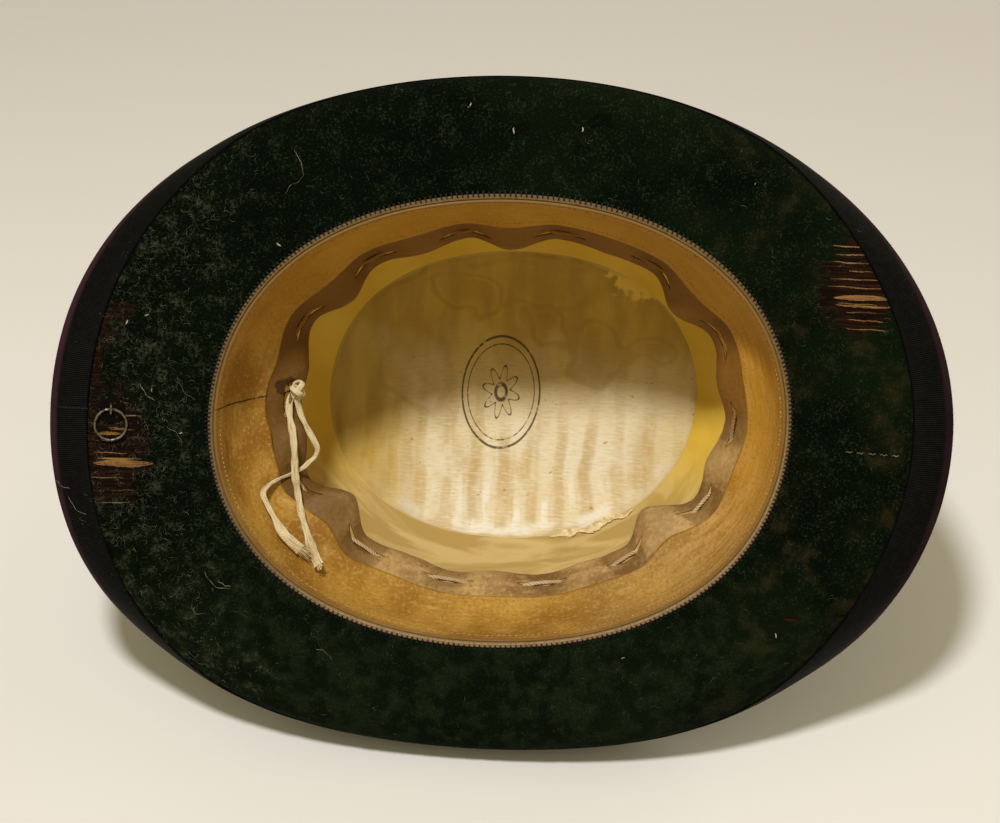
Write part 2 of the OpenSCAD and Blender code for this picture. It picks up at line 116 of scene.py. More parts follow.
def oval(t):
    """How much fuller than an ellipse the opening is at angle t."""
    return 1 + oval_fullness * np.sin(2 * t) ** 2 - oval_lean * np.sin(2 * t)


def brim_reach(t):
    """The brim's reach past the opening at angle t, in x and y. It is fullest at its corners."""
    full = 1 + np.sin(2 * t) ** 2 * (corner_fullness + corner_lean * (np.sin(t) - np.cos(t)))
    return full * end_reach * np.cos(t), full * side_reach * np.sin(t)


def brim_section(t):
    """Dip, turn radius, edge slope, flat length and whole length of the brim at angle t."""
    end_share = np.cos(t) ** 2
    dip = brim_dip * end_share
    radius = side_curl_radius + (end_turn_radius - side_curl_radius) * end_share
    slope = side_edge_slope + (end_edge_slope - side_edge_slope) * end_share
    reach = np.hypot(*brim_reach(t))
    turn_reach = radius * (np.sin(np.minimum(slope, math.pi / 2)) + np.sin(dip))
    flat = (reach - turn_reach) / np.cos(dip)
    return dip, radius, slope, flat, flat + radius * (slope + dip)


def brim_point(t, along, lift):
    """A point of the brim: angle round the head, distance from the opening, height over the
    felt's lower face."""
    dip, radius, slope, flat, length = brim_section(t)
    on_flat = np.minimum(along, flat)
    turned = np.minimum((along - on_flat) / radius - dip, slope)
    past = np.maximum(along - length, 0)
    out = (
        on_flat * np.cos(dip) + radius * (np.sin(turned) + np.sin(dip))
        - lift * np.sin(turned) + past * np.cos(turned)
    )
    up = (
        radius * (np.cos(dip) - np.cos(turned)) - on_flat * np.sin(dip)
        + lift * np.cos(turned) + past * np.sin(turned)
    )
    way_x, way_y = brim_reach(t)
    way = np.hypot(way_x, way_y)
    return np.stack(np.broadcast_arrays(
        half_length * np.cos(t) * oval(t) + way_x / way * out,
        half_width * np.sin(t) * oval(t) + way_y / way * out,
        opening_height(t) + up,
    ), axis=-1)


def crown_point(t, rise, out, foot):
    """A point of the crown: angle round the head, rise from 0 at its foot to 90 degrees at the
    top, distance out from the felt's inner face, and height of the foot."""
    wide = np.abs(np.cos(rise)) ** (2 / crown_squareness) * oval(t)
    high = np.abs(np.sin(rise)) ** (2 / crown_squareness)
    return np.stack(np.broadcast_arrays(
        (half_length + out) * np.cos(t) * wide,
        (half_width + out) * np.sin(t) * wide,
        foot + (crown_top + out - foot) * high,
    ), axis=-1)


def crown_foot(t):
    """Height at which the crown's outside stands on the brim."""
    dip = brim_dip * np.cos(t) ** 2
    return opening_height(t) + felt_thickness * (1 / np.cos(dip) - np.tan(dip))


def rise_at(depth):
    """The crown's rise angle at a depth above the opening."""
    return np.arcsin((depth / crown_depth) ** (crown_squareness / 2))


def round_angles(count):
    """Angles round the head, as a column."""
    return (np.arange(count) * 2 * math.pi / count)[:, None]


def round_run(count):
    """Distance round the opening at each of the angles, for a piece's own measure of length."""
    return np.linspace(0, math.pi * (half_length + half_width), count + 1)


def row_of(first, last, count):
    """Even steps from first to last, as a row."""
    return np.linspace(first, last, count)[None, :]


def grid_piece(name, grid, along, over, around=True, closed=False):
    """A smooth mesh from a grid of points. Its UV map "run" holds metres along and over it."""
    n, m = grid.shape[:2]
    i, j = np.meshgrid(
        np.arange(n if around else n - 1), np.arange(m if closed else m - 1), indexing="ij"
    )
    i, j = i.ravel(), j.ravel()
    i2, j2 = (i + 1) % n, (j + 1) % m
    quads = np.stack([i * m + j, i2 * m + j, i2 * m + j2, i * m + j2], axis=1)
    mesh = bpy.data.meshes.new(name)
    mesh.from_pydata(grid.reshape(-1, 3).tolist(), [], quads.tolist())
    u = np.asarray(along)[np.stack([i, i + 1, i + 1, i], axis=1)]
    v = np.asarray(over)[np.stack([j, j, j + 1, j + 1], axis=1)]
    mesh.uv_layers.new(name="run").data.foreach_set("uv", np.stack([u, v], axis=2).ravel())
    mesh.shade_smooth()
    return brought_in(name, mesh)


def lengths(points):
    """Running length along a row of points."""
    steps = np.linalg.norm(np.diff(points, axis=0), axis=1)
    return np.concatenate([[0], np.cumsum(steps)])


def add(tree, kind, inputs=None, **settings):
    """A shader node, with its settings, and its inputs set or linked."""
    made = tree.nodes.new("ShaderNode" + kind)
    for key, value in settings.items():
        setattr(made, key, value)
    for key, value in (inputs or {}).items():
        if isinstance(value, bpy.types.NodeSocket):
            tree.links.new(value, made.inputs[key])
        else:
            made.inputs[key].default_value = value
    return made


def sum_of(tree, operation, first, second=0.0, third=0.0):
    """The result of one math node."""
    return add(tree, "Math", {0: first, 1: second, 2: third}, operation=operation).outputs[0]


def times(tree, first, second):
    """Two values multiplied."""
    return sum_of(tree, "MULTIPLY", first, second)


def times_plus(tree, first, second, third):
    """Two values multiplied, and a third added."""
    return sum_of(tree, "MULTIPLY_ADD", first, second, third)


def here(tree):
    """The place of each point, in metres."""
    return add(tree, "TexCoord").outputs["Object"]


def split(tree, vector):
    """The x, y and z of a place."""
    return add(tree, "SeparateXYZ", {0: vector}).outputs


def run_of(tree):
    """Metres along and over a piece, from its UV map."""
    return split(tree, add(tree, "UVMap", uv_map="run").outputs[0])


def clouds(tree, place, scale, detail, **more):
    """A soft noise over a place."""
    return add(
        tree, "TexNoise", {"Vector": place, "Scale": scale, "Detail": detail, **more}
    ).outputs[0]


def drawn_out(tree, place, scales, detail, start=(0.0, 0.0, 0.0)):
    """A noise drawn out into fibres or threads by a scale for each direction."""
    stretched = add(tree, "Mapping", {"Vector": place, "Location": start, "Scale": scales})
    return clouds(tree, stretched.outputs[0], 1.0, detail)


def off_from(tree, value, level):
    """How far a value is from a level."""
    return sum_of(tree, "ABSOLUTE", sum_of(tree, "SUBTRACT", value, level))


def blended(tree, share, first, second):
    """One colour mixed into another by a share."""
    return add(
        tree, "Mix", {0: share, 6: first, 7: second}, data_type="RGBA", clamp_factor=True
    ).outputs[2]


def between(tree, value, low, high, first=0.0, last=1.0):
    """A value spread from low..high to first..last, with soft ends."""
    return add(
        tree, "MapRange",
        {"Value": value, "From Min": low, "From Max": high, "To Min": first, "To Max": last},
        interpolation_type="SMOOTHSTEP",
    ).outputs[0]


def finish_material(name, **values):
    """A material with one Principled shader, and its plain values set on the shader."""
    material = bpy.data.materials.new(name)
    material.use_nodes = True
    shader = material.node_tree.nodes["Principled BSDF"]
    for key, value in values.items():
        shader.inputs[key.replace("_", " ")].default_value = value
    return material, material.node_tree, shader


def bumped(tree, shader, height, strength, distance):
    """A bump from a height, into the shader."""
    bump = add(tree, "Bump", {"Height": height, "Strength": strength, "Distance": distance})
    tree.links.new(bump.outputs[0], shader.inputs["Normal"])


def painted(tree, shader, colour):
    """A colour, into the shader."""
    tree.links.new(colour, shader.inputs["Base Color"])


def toned_finish(name, grain, spread, tones, bump=None, rough=None, **values):
    """A material that goes from one tone to another over a fine noise: the noise's scale and
    detail, the two levels, the tones, the bump's strength and depth, the roughness."""
    material, tree, shader = finish_material(name, **values)
    fine = clouds(tree, here(tree), *grain)
    painted(tree, shader, blended(tree, between(tree, fine, *spread), *tones))
    if rough:
        tree.links.new(between(tree, fine, *rough), shader.inputs["Roughness"])
    if bump:
        bumped(tree, shader, fine, *bump)
    return material


def new_group(name, inputs, outputs):
    """A shader node group with named sockets, and its input and output nodes."""
    group = bpy.data.node_groups.new(name, "ShaderNodeTree")
    for socket, kind in inputs.items():
        group.interface.new_socket(socket, in_out="INPUT", socket_type="NodeSocket" + kind)
    for socket, kind in outputs.items():
        group.interface.new_socket(socket, in_out="OUTPUT", socket_type="NodeSocket" + kind)
    return group, group.nodes.new("NodeGroupInput").outputs, group.nodes.new("NodeGroupOutput").inputs


def placed(tree, group, inputs):
    """A group placed in a material, with its inputs set or linked."""
    made = tree.nodes.new("ShaderNodeGroup")
    made.node_tree = group
    for key, value in inputs.items():
        if isinstance(value, bpy.types.NodeSocket):
            tree.links.new(value, made.inputs[key])
        else:
            made.inputs[key].default_value = value
    return made.outputs


# Soft patches of an even scale, as dye, dirt and wear leave them
mottle, given, gives = new_group(
    "mottle", {"Grain": "Float", "Low": "Float", "High": "Float"}, {"Mask": "Float"}
)
spots = clouds(mottle, here(mottle), given["Grain"], 5.0)
mottle.links.new(between(mottle, spots, given["Low"], given["High"]), gives["Mask"])


def patches(tree, grain, low, high):
    """Soft patches of a grain, where its noise rises from low to high."""
    return placed(tree, mottle, {"Grain": grain, "Low": low, "High": high})["Mask"]


felt, tree, shader = finish_material(
    "brushed_felt", Roughness=0.85, Sheen_Weight=0.08, Specular_IOR_Level=0.15
)
fading = patches(tree, 28.0, 0.42, 0.75)
painted(tree, shader, blended(tree, fading, felt_colour, felt_faded))
bumped(tree, shader, clouds(tree, here(tree), 1800.0, 3.0), 0.35, 0.0002)

t = round_angles(hood_columns)
brim_length = brim_section(t)[4]
inside = crown_point(t, row_of(almost_up, 0, 60), 0, opening_height(t))
under = brim_point(t, brim_length * row_of(0, 1, 50)[:, 1:], 0)
over = brim_point(t, brim_length + (fillet_reach - brim_length) * row_of(0, 1, 44), felt_thickness)
foot = brim_point(t, np.full_like(t, fillet_reach), felt_thickness)
wall = crown_point(t, np.full_like(t, rise_at(fillet_height)), felt_thickness, crown_foot(t))
corner = crown_point(t, np.full_like(t, 0.0), felt_thickness, crown_foot(t))
share = row_of(0, 1, 8)[:, 1:-1, None]
fillet = foot * (1 - share) ** 2 + corner * 2 * share * (1 - share) + wall * share ** 2
outside = crown_point(t, row_of(rise_at(fillet_height), almost_up, 70), felt_thickness, crown_foot(t))
hood_grid = np.concatenate([inside, under, over, fillet, outside], axis=1)
hood = grid_piece("felt_hood", hood_grid, round_run(hood_columns), lengths(hood_grid[0]))
hood.data.materials.append(felt)
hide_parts("felt_body")
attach(hood, "hat")


# ---- Cloth under the brim ----
# Dark green napped cloth, pasted to the lower face of the brim. It has worn through near
# both ends, where its brown backing shows and has cracked across.
cloth_thickness = 0.0006
cloth_columns = 720
cloth_dark = (0.0012, 0.0026, 0.0009, 1)
cloth_green = (0.0030, 0.0070, 0.0020, 1)
cloth_fleck_and_lit_nap = (0.013, 0.021, 0.008, 1)
cloth_olive = (0.024, 0.018, 0.0065, 1)
cloth_dust = (0.045, 0.050, 0.030, 1)
cloth_hole = (0.0008, 0.0010, 0.0008, 1)
backing_dark = (0.0065, 0.0030, 0.0022, 1)
backing_light = (0.022, 0.0095, 0.0048, 1)


def under_height(grid):
    """A way to find the brim's underside at a place x, y: its point and its outward normal."""
    n, m = grid.shape[:2]
    points = [Vector(p) for p in grid.reshape(-1, 3)]
    faces = [
        (i * m + j, ((i + 1) % n) * m + j, ((i + 1) % n) * m + j + 1, i * m + j + 1)
        for i in range(n) for j in range(m - 1)
    ]
    tree = BVHTree.FromPolygons(points, faces)

    def find(x, y):
        point, normal, _, _ = tree.ray_cast(Vector((x, y, -1)), Vector((0, 0, 1)))
        return (None, None) if point is None else (point, -normal if normal.z > 0 else normal)
    return find


# A patch: an oval with a ragged edge
ragged_oval, given, gives = new_group(
    "ragged_oval", {"Centre": "Vector", "Reach": "Vector", "Ragged": "Float"}, {"Mask": "Float"}
)
where = here(ragged_oval)
away = add(ragged_oval, "VectorMath", {0: where, 1: given["Centre"]}, operation="SUBTRACT").outputs[0]
away = add(ragged_oval, "VectorMath", {0: away, 1: given["Reach"]}, operation="DIVIDE").outputs[0]
away = add(ragged_oval, "VectorMath", {0: away}, operation="LENGTH").outputs["Value"]
rough = clouds(ragged_oval, where, 260.0, 6.0)
rough = times(ragged_oval, sum_of(ragged_oval, "SUBTRACT", rough, 0.5), given["Ragged"])
edge = between(ragged_oval, sum_of(ragged_oval, "ADD", away, rough), 0.8, 1.05, 1.0, 0.0)
ragged_oval.links.new(edge, gives["Mask"])


def patch_at(tree, centre, reach, ragged):
    """A patch in a material, by its centre, its reach and how ragged its edge is."""
    return placed(tree, ragged_oval, {"Centre": centre, "Reach": reach, "Ragged": ragged})["Mask"]


def most_worn(tree, places, ragged):
    """The most worn of several places, each with its centre and its reach."""
    most = 0.0
    for centre, reach in places:
        most = sum_of(tree, "MAXIMUM", most, patch_at(tree, centre, reach, ragged))
    return most


cloth, tree, shader = finish_material("green_napped_cloth", Roughness=0.95, Specular_IOR_Level=0.03)
where = here(tree)
place = split(tree, where)
nap = clouds(tree, where, 900.0, 4.0)
clumps = clouds(tree, where, 170.0, 6.0)
greener = patches(tree, 22.0, 0.40, 0.66)
greener = times(tree, greener, between(tree, place[0], -0.11, 0.10, 0.25, 1.0))
colour = blended(tree, greener, cloth_dark, cloth_green)
fleck = clouds(tree, where, 1250.0, 2.0)
fleck = times(tree, between(tree, fleck, 0.54, 0.68), between(tree, clumps, 0.35, 0.6, 0.25, 0.9))
colour = blended(tree, fleck, colour, cloth_fleck_and_lit_nap)
powder = patch_at(tree, (-0.089, 0.092, 0.0), (0.018, 0.009, 1.0), 2.0)
# Painted light: the clumps of the nap are lighter toward the wearer's left (+Y), where they catch the
# light.
painted_nap_light = times(tree, between(tree, place[1], 0.02, 0.10), between(tree, clumps, 0.40, 0.60, 0.3, 1.0))
colour = blended(tree, times(tree, painted_nap_light, 0.45), colour, cloth_fleck_and_lit_nap)
faded = patches(tree, 66.0, 0.48, 0.66)
faded = times(tree, faded, between(tree, place[0], 0.05, 0.11))
faded = times(tree, faded, between(tree, clumps, 0.40, 0.62, 0.05, 0.5))
colour = blended(tree, faded, colour, cloth_olive)
dusty = times(tree, between(tree, place[0], -0.07, -0.12), 0.55)
dusty = sum_of(tree, "MAXIMUM", dusty, times(tree, powder, 0.7))
dusty = sum_of(tree, "ADD", dusty, 0.10)
dusty = times(tree, dusty, between(tree, clumps, 0.50, 0.68))
dusty = times(tree, dusty, between(tree, nap, 0.42, 0.62))
colour = blended(tree, dusty, colour, cloth_dust)
threads = drawn_out(tree, where, (90.0, 1500.0, 90.0), 3.0)
backing = blended(tree, between(tree, threads, 0.42, 0.68), backing_dark, backing_light)
patch_mask = most_worn(tree, (
    ((0.1195, -0.053, 0.0), (0.0135, 0.0165, 1.0)),
    ((-0.131, 0.013, 0.0), (0.0125, 0.021, 1.0)),
    ((-0.137, -0.027, 0.0), (0.0070, 0.0090, 1.0)),
    ((-0.130, -0.033, 0.0), (0.0055, 0.0038, 1.0)),
    ((-0.139, -0.014, 0.0), (0.006, 0.008, 1.0)),
    ((0.104, 0.0605, 0.0), (0.0026, 0.0013, 1.0)),
), 1.5)
colour = blended(tree, patch_mask, colour, backing)
holes = most_worn(tree, (
    ((-0.020, -0.109, 0.0), (0.0035, 0.0016, 1.0)),
    ((0.003, -0.100, 0.0), (0.0035, 0.0022, 1.0)),
    ((0.030, -0.104, 0.0), (0.0045, 0.0026, 1.0)),
    ((0.024, -0.094, 0.0), (0.0025, 0.0018, 1.0)),
), 2.6)
holes = times(tree, holes, 0.4)
colour = blended(tree, holes, colour, cloth_hole)
painted(tree, shader, colour)
height = sum_of(tree, "ADD", times(tree, clumps, 1.6), nap)
height = sum_of(tree, "SUBTRACT", height, times(tree, patch_mask, 0.7))
height = sum_of(tree, "SUBTRACT", height, holes)
height = sum_of(tree, "ADD", height, times(tree, threads, times(tree, patch_mask, 0.6)))
bumped(tree, shader, height, 0.7, 0.0005)

t = round_angles(cloth_columns)
below = brim_point(t, brim_section(t)[4] * row_of(0, 1, 80), -cloth_thickness)
for i, j in np.ndindex(below.shape[:2]):
    spot = Vector(below[i, j])
    below[i, j, 2] += 0.00022 * noise.noise(spot * 210) + 0.00012 * noise.noise(spot * 520)
start = brim_point(t, np.zeros_like(t), 0)
cloth_grid = np.concatenate([start, below], axis=1)
cloth_piece = grid_piece("green_cloth", cloth_grid, round_run(cloth_columns), lengths(cloth_grid[0]))
cloth_piece.data.materials.append(cloth)
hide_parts("underbrim_cloth")
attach(cloth_piece, "hat")
under_at = under_height(below)


# ---- Cracks in the worn cloth ----
# Where the backing has cracked across, the pale paste and felt behind it show as thin
# golden slivers. Each lies a hair under the cloth.
crack_colour = (0.235, 0.112, 0.018, 1)
crack_shade = (0.085, 0.032, 0.007, 1)
crack_lift = 0.00012
crack_steps = 28

crack_finish, tree, shader = finish_material("cracked_paste", Roughness=0.8)
fibres = drawn_out(tree, here(tree), (160.0, 2200.0, 160.0), 3.0)
painted(tree, shader, blended(tree, between(tree, fibres, 0.35, 0.62), crack_shade, crack_colour))
bumped(tree, shader, fibres, 0.5, 0.0003)

random.seed(11)
cracks = [
    (0.1195, -0.0495, 0.0180, 0.0018), (0.1205, -0.0468, 0.0185, 0.0008),
    (-0.1270, 0.0188, 0.0195, 0.0025), (-0.1285, 0.0172, 0.0140, 0.0007),
    (-0.1320, 0.0086, 0.0085, 0.0011), (-0.1275, 0.0070, 0.0080, 0.0006),
]
for i in range(11):
    cracks.append((
        0.1160 + 0.0006 * i + random.uniform(-0.002, 0.002), -0.0663 + 0.0027 * i,
        random.uniform(0.007, 0.0175), random.uniform(0.0002, 0.00045),
    ))
for i in range(9):
    cracks.append((
        -0.1310 + random.uniform(-0.003, 0.004), -0.0020 + 0.0043 * i,
        random.uniform(0.004, 0.012), random.uniform(0.0002, 0.0005),
    ))
points, faces = [], []
for x, y, long, wide in cracks:
    first = len(points)
    for i in range(crack_steps + 1):
        share = i / crack_steps
        swell = math.sin(math.pi * share) ** 0.6 * wide / 2
        bend = 0.0004 * noise.noise(Vector((x * 900 + share * 2.5, y * 900, 1)))
        spot_x = x + (share - 0.5) * long
        for side in (-1, 1):
            frayed = 0.0002 * noise.noise(Vector((spot_x * 1600, y * 700, side * 5)))
            spot_y = y + bend + side * max(swell + frayed, 0.00005)
            found, outward = under_at(spot_x, spot_y)
            points.append(found + outward * crack_lift)
    for i in range(crack_steps):
        a = first + 2 * i
        faces.append((a, a + 1, a + 3, a + 2))
mesh = bpy.data.meshes.new("cloth_cracks")
mesh.from_pydata(points, [], faces)
mesh.materials.append(crack_finish)
crack_piece = brought_in("cloth_cracks", mesh)
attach(crack_piece, "hat")


# ---- Lint and hairs ----
# Wool fibres that stand out of the nap, thickest toward the back, with a few long hairs and
# crumbs caught in it.
fibre_dark = (0.012, 0.016, 0.010, 1)
fibre_pale = (0.16, 0.17, 0.115, 1)
hair_dark = (0.2, 0.17, 0.11, 1)
hair_pale = (0.42, 0.38, 0.30, 1)
lint_count = 4800
lint_steps = 6


def fibre_mesh(name, routes, sides=3):
    """One mesh of thin tubes, each along a route of points with a radius."""
    points, faces = [], []
    for route, radius in routes:
        first = len(points)
        for k, spot in enumerate(route):
            ahead = (route[min(k + 1, len(route) - 1)] - route[max(k - 1, 0)]).normalized()
            side = ahead.orthogonal().normalized()
            up = ahead.cross(side)
            thin = radius * (0.35 if k in (0, len(route) - 1) else 1)
            for s in range(sides):
                a = 2 * math.pi * s / sides
                points.append(spot + (side * math.cos(a) + up * math.sin(a)) * thin)
        for k in range(len(route) - 1):
            for s in range(sides):
                a, b = first + k * sides + s, first + k * sides + (s + 1) % sides
                faces.append((a, b, b + sides, a + sides))
        faces.append(tuple(first + s for s in range(sides))[::-1])
        faces.append(tuple(first + (len(route) - 1) * sides + s for s in range(sides)))
    mesh = bpy.data.meshes.new(name)
    mesh.from_pydata(points, [], faces)
    mesh.shade_smooth()
    return brought_in(name, mesh)


fibre_finish = toned_finish(
    "wool_lint", (330.0, 1.0), (0.38, 0.68), (fibre_dark, fibre_pale),
    Roughness=0.9, Specular_IOR_Level=0.1,
)
hair_finish = toned_finish("loose_hair", (500.0, 1.0), (0.3, 0.7), (hair_dark, hair_pale), Roughness=0.5)

# Lint lies thin all over and thick at the back, with two tufts
random.seed(5)
fluff = []
while len(fluff) < lint_count:
    x, y = random.uniform(-0.145, 0.14), random.uniform(-0.116, 0.116)
    thick = 0.035 + 0.9 * max(0.0, min(1.0, (-0.082 - x) / 0.03))
    thick += 0.5 * math.exp(-((x + 0.089) / 0.016) ** 2 - ((y - 0.092) / 0.009) ** 2)
    thick += 0.9 * math.exp(-((x + 0.118) / 0.013) ** 2 - ((y - 0.001) / 0.013) ** 2)
    thick *= 0.35 + 1.3 * max(0.0, noise.noise(Vector((x * 45, y * 45, 3))) + 0.35)
    found, outward = under_at(x, y)
    if found is None or random.random() > thick:
        continue
    if (x / half_length) ** 2 + (y / half_width) ** 2 < 1.06:
        continue
    heading = random.uniform(0, 2 * math.pi)
    curl = random.uniform(-1.1, 1.1)
    step = random.uniform(0.00022, 0.00065)
    route = []
    for k in range(lint_steps):
        route.append(Vector((x, y, 0)))
        x += step * math.cos(heading)
        y += step * math.sin(heading)
        heading += curl * random.uniform(0.5, 1.3)
    rise = random.uniform(0.0001, 0.0005)
    lifted = []
    for k, spot in enumerate(route):
        found, outward = under_at(spot.x, spot.y)
        if found is not None:
            lifted.append(found + outward * (0.00004 + rise * math.sin(math.pi * (k + 0.6) / 6.5)))
    if len(lifted) == lint_steps:
        fluff.append((lifted, random.choice((0.000022, 0.00003, 0.000035, 0.00005))))
fluff_piece = fibre_mesh("wool_lint", fluff)
fluff_piece.data.materials.append(fibre_finish)
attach(fluff_piece, "hat")

hairs = []
for ends, bow, radius in (
    (((-0.1508, 0.0236), (-0.1437, 0.0284)), 0.0012, 0.00005),
    (((-0.0945, 0.0590), (-0.0900, 0.0612)), 0.0004, 0.00007),
    (((-0.1030, 0.0675), (-0.0985, 0.0705)), 0.0018, 0.00003),
    (((-0.1020, 0.0715), (-0.0992, 0.0668)), -0.0014, 0.00003),
    (((-0.1100, -0.0120), (-0.1040, -0.0035)), 0.0012, 0.00003),
    (((-0.1220, -0.0090), (-0.1170, -0.0030)), 0.0008, 0.00007),
    (((-0.1455, 0.0300), (-0.1380, 0.0375)), 0.0015, 0.00005),
    (((-0.1130, 0.0060), (-0.1080, 0.0120)), -0.0012, 0.00003),
    (((0.0720, -0.0600), (0.0760, -0.0560)), 0.0008, 0.00004),
    (((-0.0990, 0.0560), (-0.0900, 0.0620)), 0.0020, 0.00005),
    (((-0.0600, 0.0820), (-0.0540, 0.0860)), -0.0012, 0.00004),
    *((((0.1176 + 0.0037 * k, 0.0019), (0.1200 + 0.0037 * k, 0.0020)), 0.0001, 0.00008) for k in range(5)),
):
    (x0, y0), (x1, y1) = ends
    route = []
    for k in range(12):
        share = k / 11
        off = bow * math.sin(math.pi * share) + 0.0002 * math.sin(share * 13)
        x = x0 + (x1 - x0) * share - (y1 - y0) * off / math.hypot(x1 - x0, y1 - y0)
        y = y0 + (y1 - y0) * share + (x1 - x0) * off / math.hypot(x1 - x0, y1 - y0)
        found, outward = under_at(x, y)
        if found is not None:
            route.append(found + outward * (0.0003 + 0.0006 * math.sin(math.pi * share)))
    hairs.append((route, radius))
curved = []
for x, y in (
    (-0.0728, -0.0902), (-0.0703, -0.0860), (-0.0694, -0.0819), (-0.0711, -0.0795),
    (-0.0738, -0.0783), (-0.0754, -0.0749),
):
    found, outward = under_at(x, y)
    curved.append(found + outward * 0.0006)
hairs.append((curved, 0.00006))
random.seed(23)
for centre_x, centre_y, size in (
    (-0.078, -0.0585, 0.0011), (0.083, -0.086, 0.0006), (-0.121, -0.032, 0.0009),
    (-0.1265, -0.0305, 0.0011), (-0.0965, 0.0030, 0.0007), (0.0985, 0.0660, 0.0009),
    (0.0480, 0.0790, 0.0008), (-0.0150, -0.1070, 0.0012), (0.0010, -0.1010, 0.0013),
    (0.0240, -0.1020, 0.0011), (-0.1180, -0.0060, 0.0008), (-0.1090, 0.0080, 0.0007),
):
    heading = random.uniform(0, 6.28)
    route = []
    for k in range(5):
        found, outward = under_at(centre_x, centre_y)
        if found is not None:
            route.append(found + outward * (0.0002 + 0.0001 * k))
        heading += random.uniform(-0.9, 0.9)
        centre_x += size * 0.45 * math.cos(heading)
        centre_y += size * 0.45 * math.sin(heading)
    hairs.append((route, size * 0.22))
hair_piece = fibre_mesh("loose_hairs", hairs, sides=5)
hair_piece.data.materials.append(hair_finish)
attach(hair_piece, "hat")


# ---- Edge binding ----
# Black grosgrain folded over the edge of the brim, its ribs lying across the ribbon. Its
# fold has faded to plum, and its ends meet in a sewn butt joint at the back.
ribbon_thickness = 0.0005
binding_width = 0.0125
fold_width = 0.0011
rib_pitch = 0.00074
binding_columns = 960
fuzz_count = 1500
seam_steps = 25
seam_stitches = 11
ribbon_black = (0.0010, 0.0010, 0.0011, 1)
ribbon_crest = (0.0130, 0.0132, 0.0120, 1)
ribbon_shadow = (0.0004, 0.0004, 0.0004, 1)
fold_plum = (0.024, 0.0085, 0.0125, 1)
fold_faded = (0.036, 0.0135, 0.0200, 1)

# Ribs across a ribbon, from the length along it
ribs, given, gives = new_group("ribs", {"Along": "Float", "Pitch": "Float"}, {"Height": "Float"})
where = here(ribs)
drift = clouds(ribs, where, 140.0, 1.0)
drift = times(ribs, drift, 0.0006)
turns_along = sum_of(ribs, "DIVIDE", sum_of(ribs, "ADD", given["Along"], drift), given["Pitch"])
rib = sum_of(ribs, "SINE", times(ribs, turns_along, 2 * math.pi))
ribs.links.new(times_plus(ribs, rib, 0.5, 0.5), gives["Height"])


def closed_lengths(points):
    """Running length along a row of points and back to its first."""
    return lengths(np.concatenate([points, points[:1]]))


def brim_spot(angle, along, lift):
    """One point of the brim, at one angle."""
    return Vector(brim_point(np.array([[angle]]), along, lift)[0, 0])


grosgrain, tree, shader = finish_material("black_grosgrain", Roughness=0.62, Specular_IOR_Level=0.05)
run = run_of(tree)
rib = placed(tree, ribs, {"Along": run[0], "Pitch": rib_pitch})["Height"]
where = here(tree)
wear = clouds(tree, where, 420.0, 4.0)
crest = times(tree, between(tree, rib, 0.60, 1.0), between(tree, wear, 0.3, 0.7, 0.35, 1.0))
colour = blended(tree, crest, ribbon_black, ribbon_crest)
colour = blended(tree, between(tree, run[1], 0.0008, 0.0015, 1.0, 0.0), colour, ribbon_shadow)
fold = times(
    tree,
    between(tree, run[1], 0.0108, 0.0124), between(tree, run[1], 0.0175, 0.0200, 1.0, 0.0),
)
place = split(tree, where)
back_right = times_plus(tree, place[1], 0.3, place[0])
plum = blended(tree, between(tree, back_right, 0.0, -0.15), fold_plum, fold_faded)
faded = patches(tree, 30.0, 0.30, 0.62)
fold = times(tree, fold, times_plus(tree, faded, 0.6, 0.4))
colour = blended(tree, fold, colour, plum)
painted(tree, shader, colour)
fine = clouds(tree, where, 2600.0, 1.0)
soft = times(tree, rib, times_plus(tree, fold, -0.75, 1.0))
bumped(tree, shader, times_plus(tree, fine, 0.15, soft), 0.8, 0.00022)

t = round_angles(binding_columns)
edge_at = brim_section(t)[4]
inner_edge = edge_at - binding_width
face_steps = row_of(0, 1, 15)
under_face = brim_point(t, inner_edge + binding_width * face_steps, -cloth_thickness - ribbon_thickness)
fold_angles = row_of(-math.pi / 2, math.pi / 2, 13)[:, 1:-1]
fold_middle = (felt_thickness - cloth_thickness) / 2
fold_half = (felt_thickness + cloth_thickness) / 2 + ribbon_thickness
fold_face = brim_point(
    t, edge_at + fold_width * np.cos(fold_angles), fold_middle + fold_half * np.sin(fold_angles)
)
top_face = brim_point(
    t, edge_at - binding_width * face_steps, felt_thickness + ribbon_thickness
)
top_end = brim_point(t, inner_edge, felt_thickness + 0.00005)
under_end = brim_point(t, inner_edge, -cloth_thickness + 0.0001)
binding_grid = np.concatenate([under_end, under_face, fold_face, top_face, top_end], axis=1)
for i, j in np.ndindex(binding_grid.shape[:2]):
    spot = Vector(binding_grid[i, j])
    binding_grid[i, j, 2] += 0.00018 * noise.noise(spot * 75)
edge_run = closed_lengths(binding_grid[:, 20])
binding = grid_piece("edge_binding", binding_grid, edge_run, lengths(binding_grid[0]))
binding.data.materials.append(grosgrain)
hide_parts("brim_binding")
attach(binding, "hat")

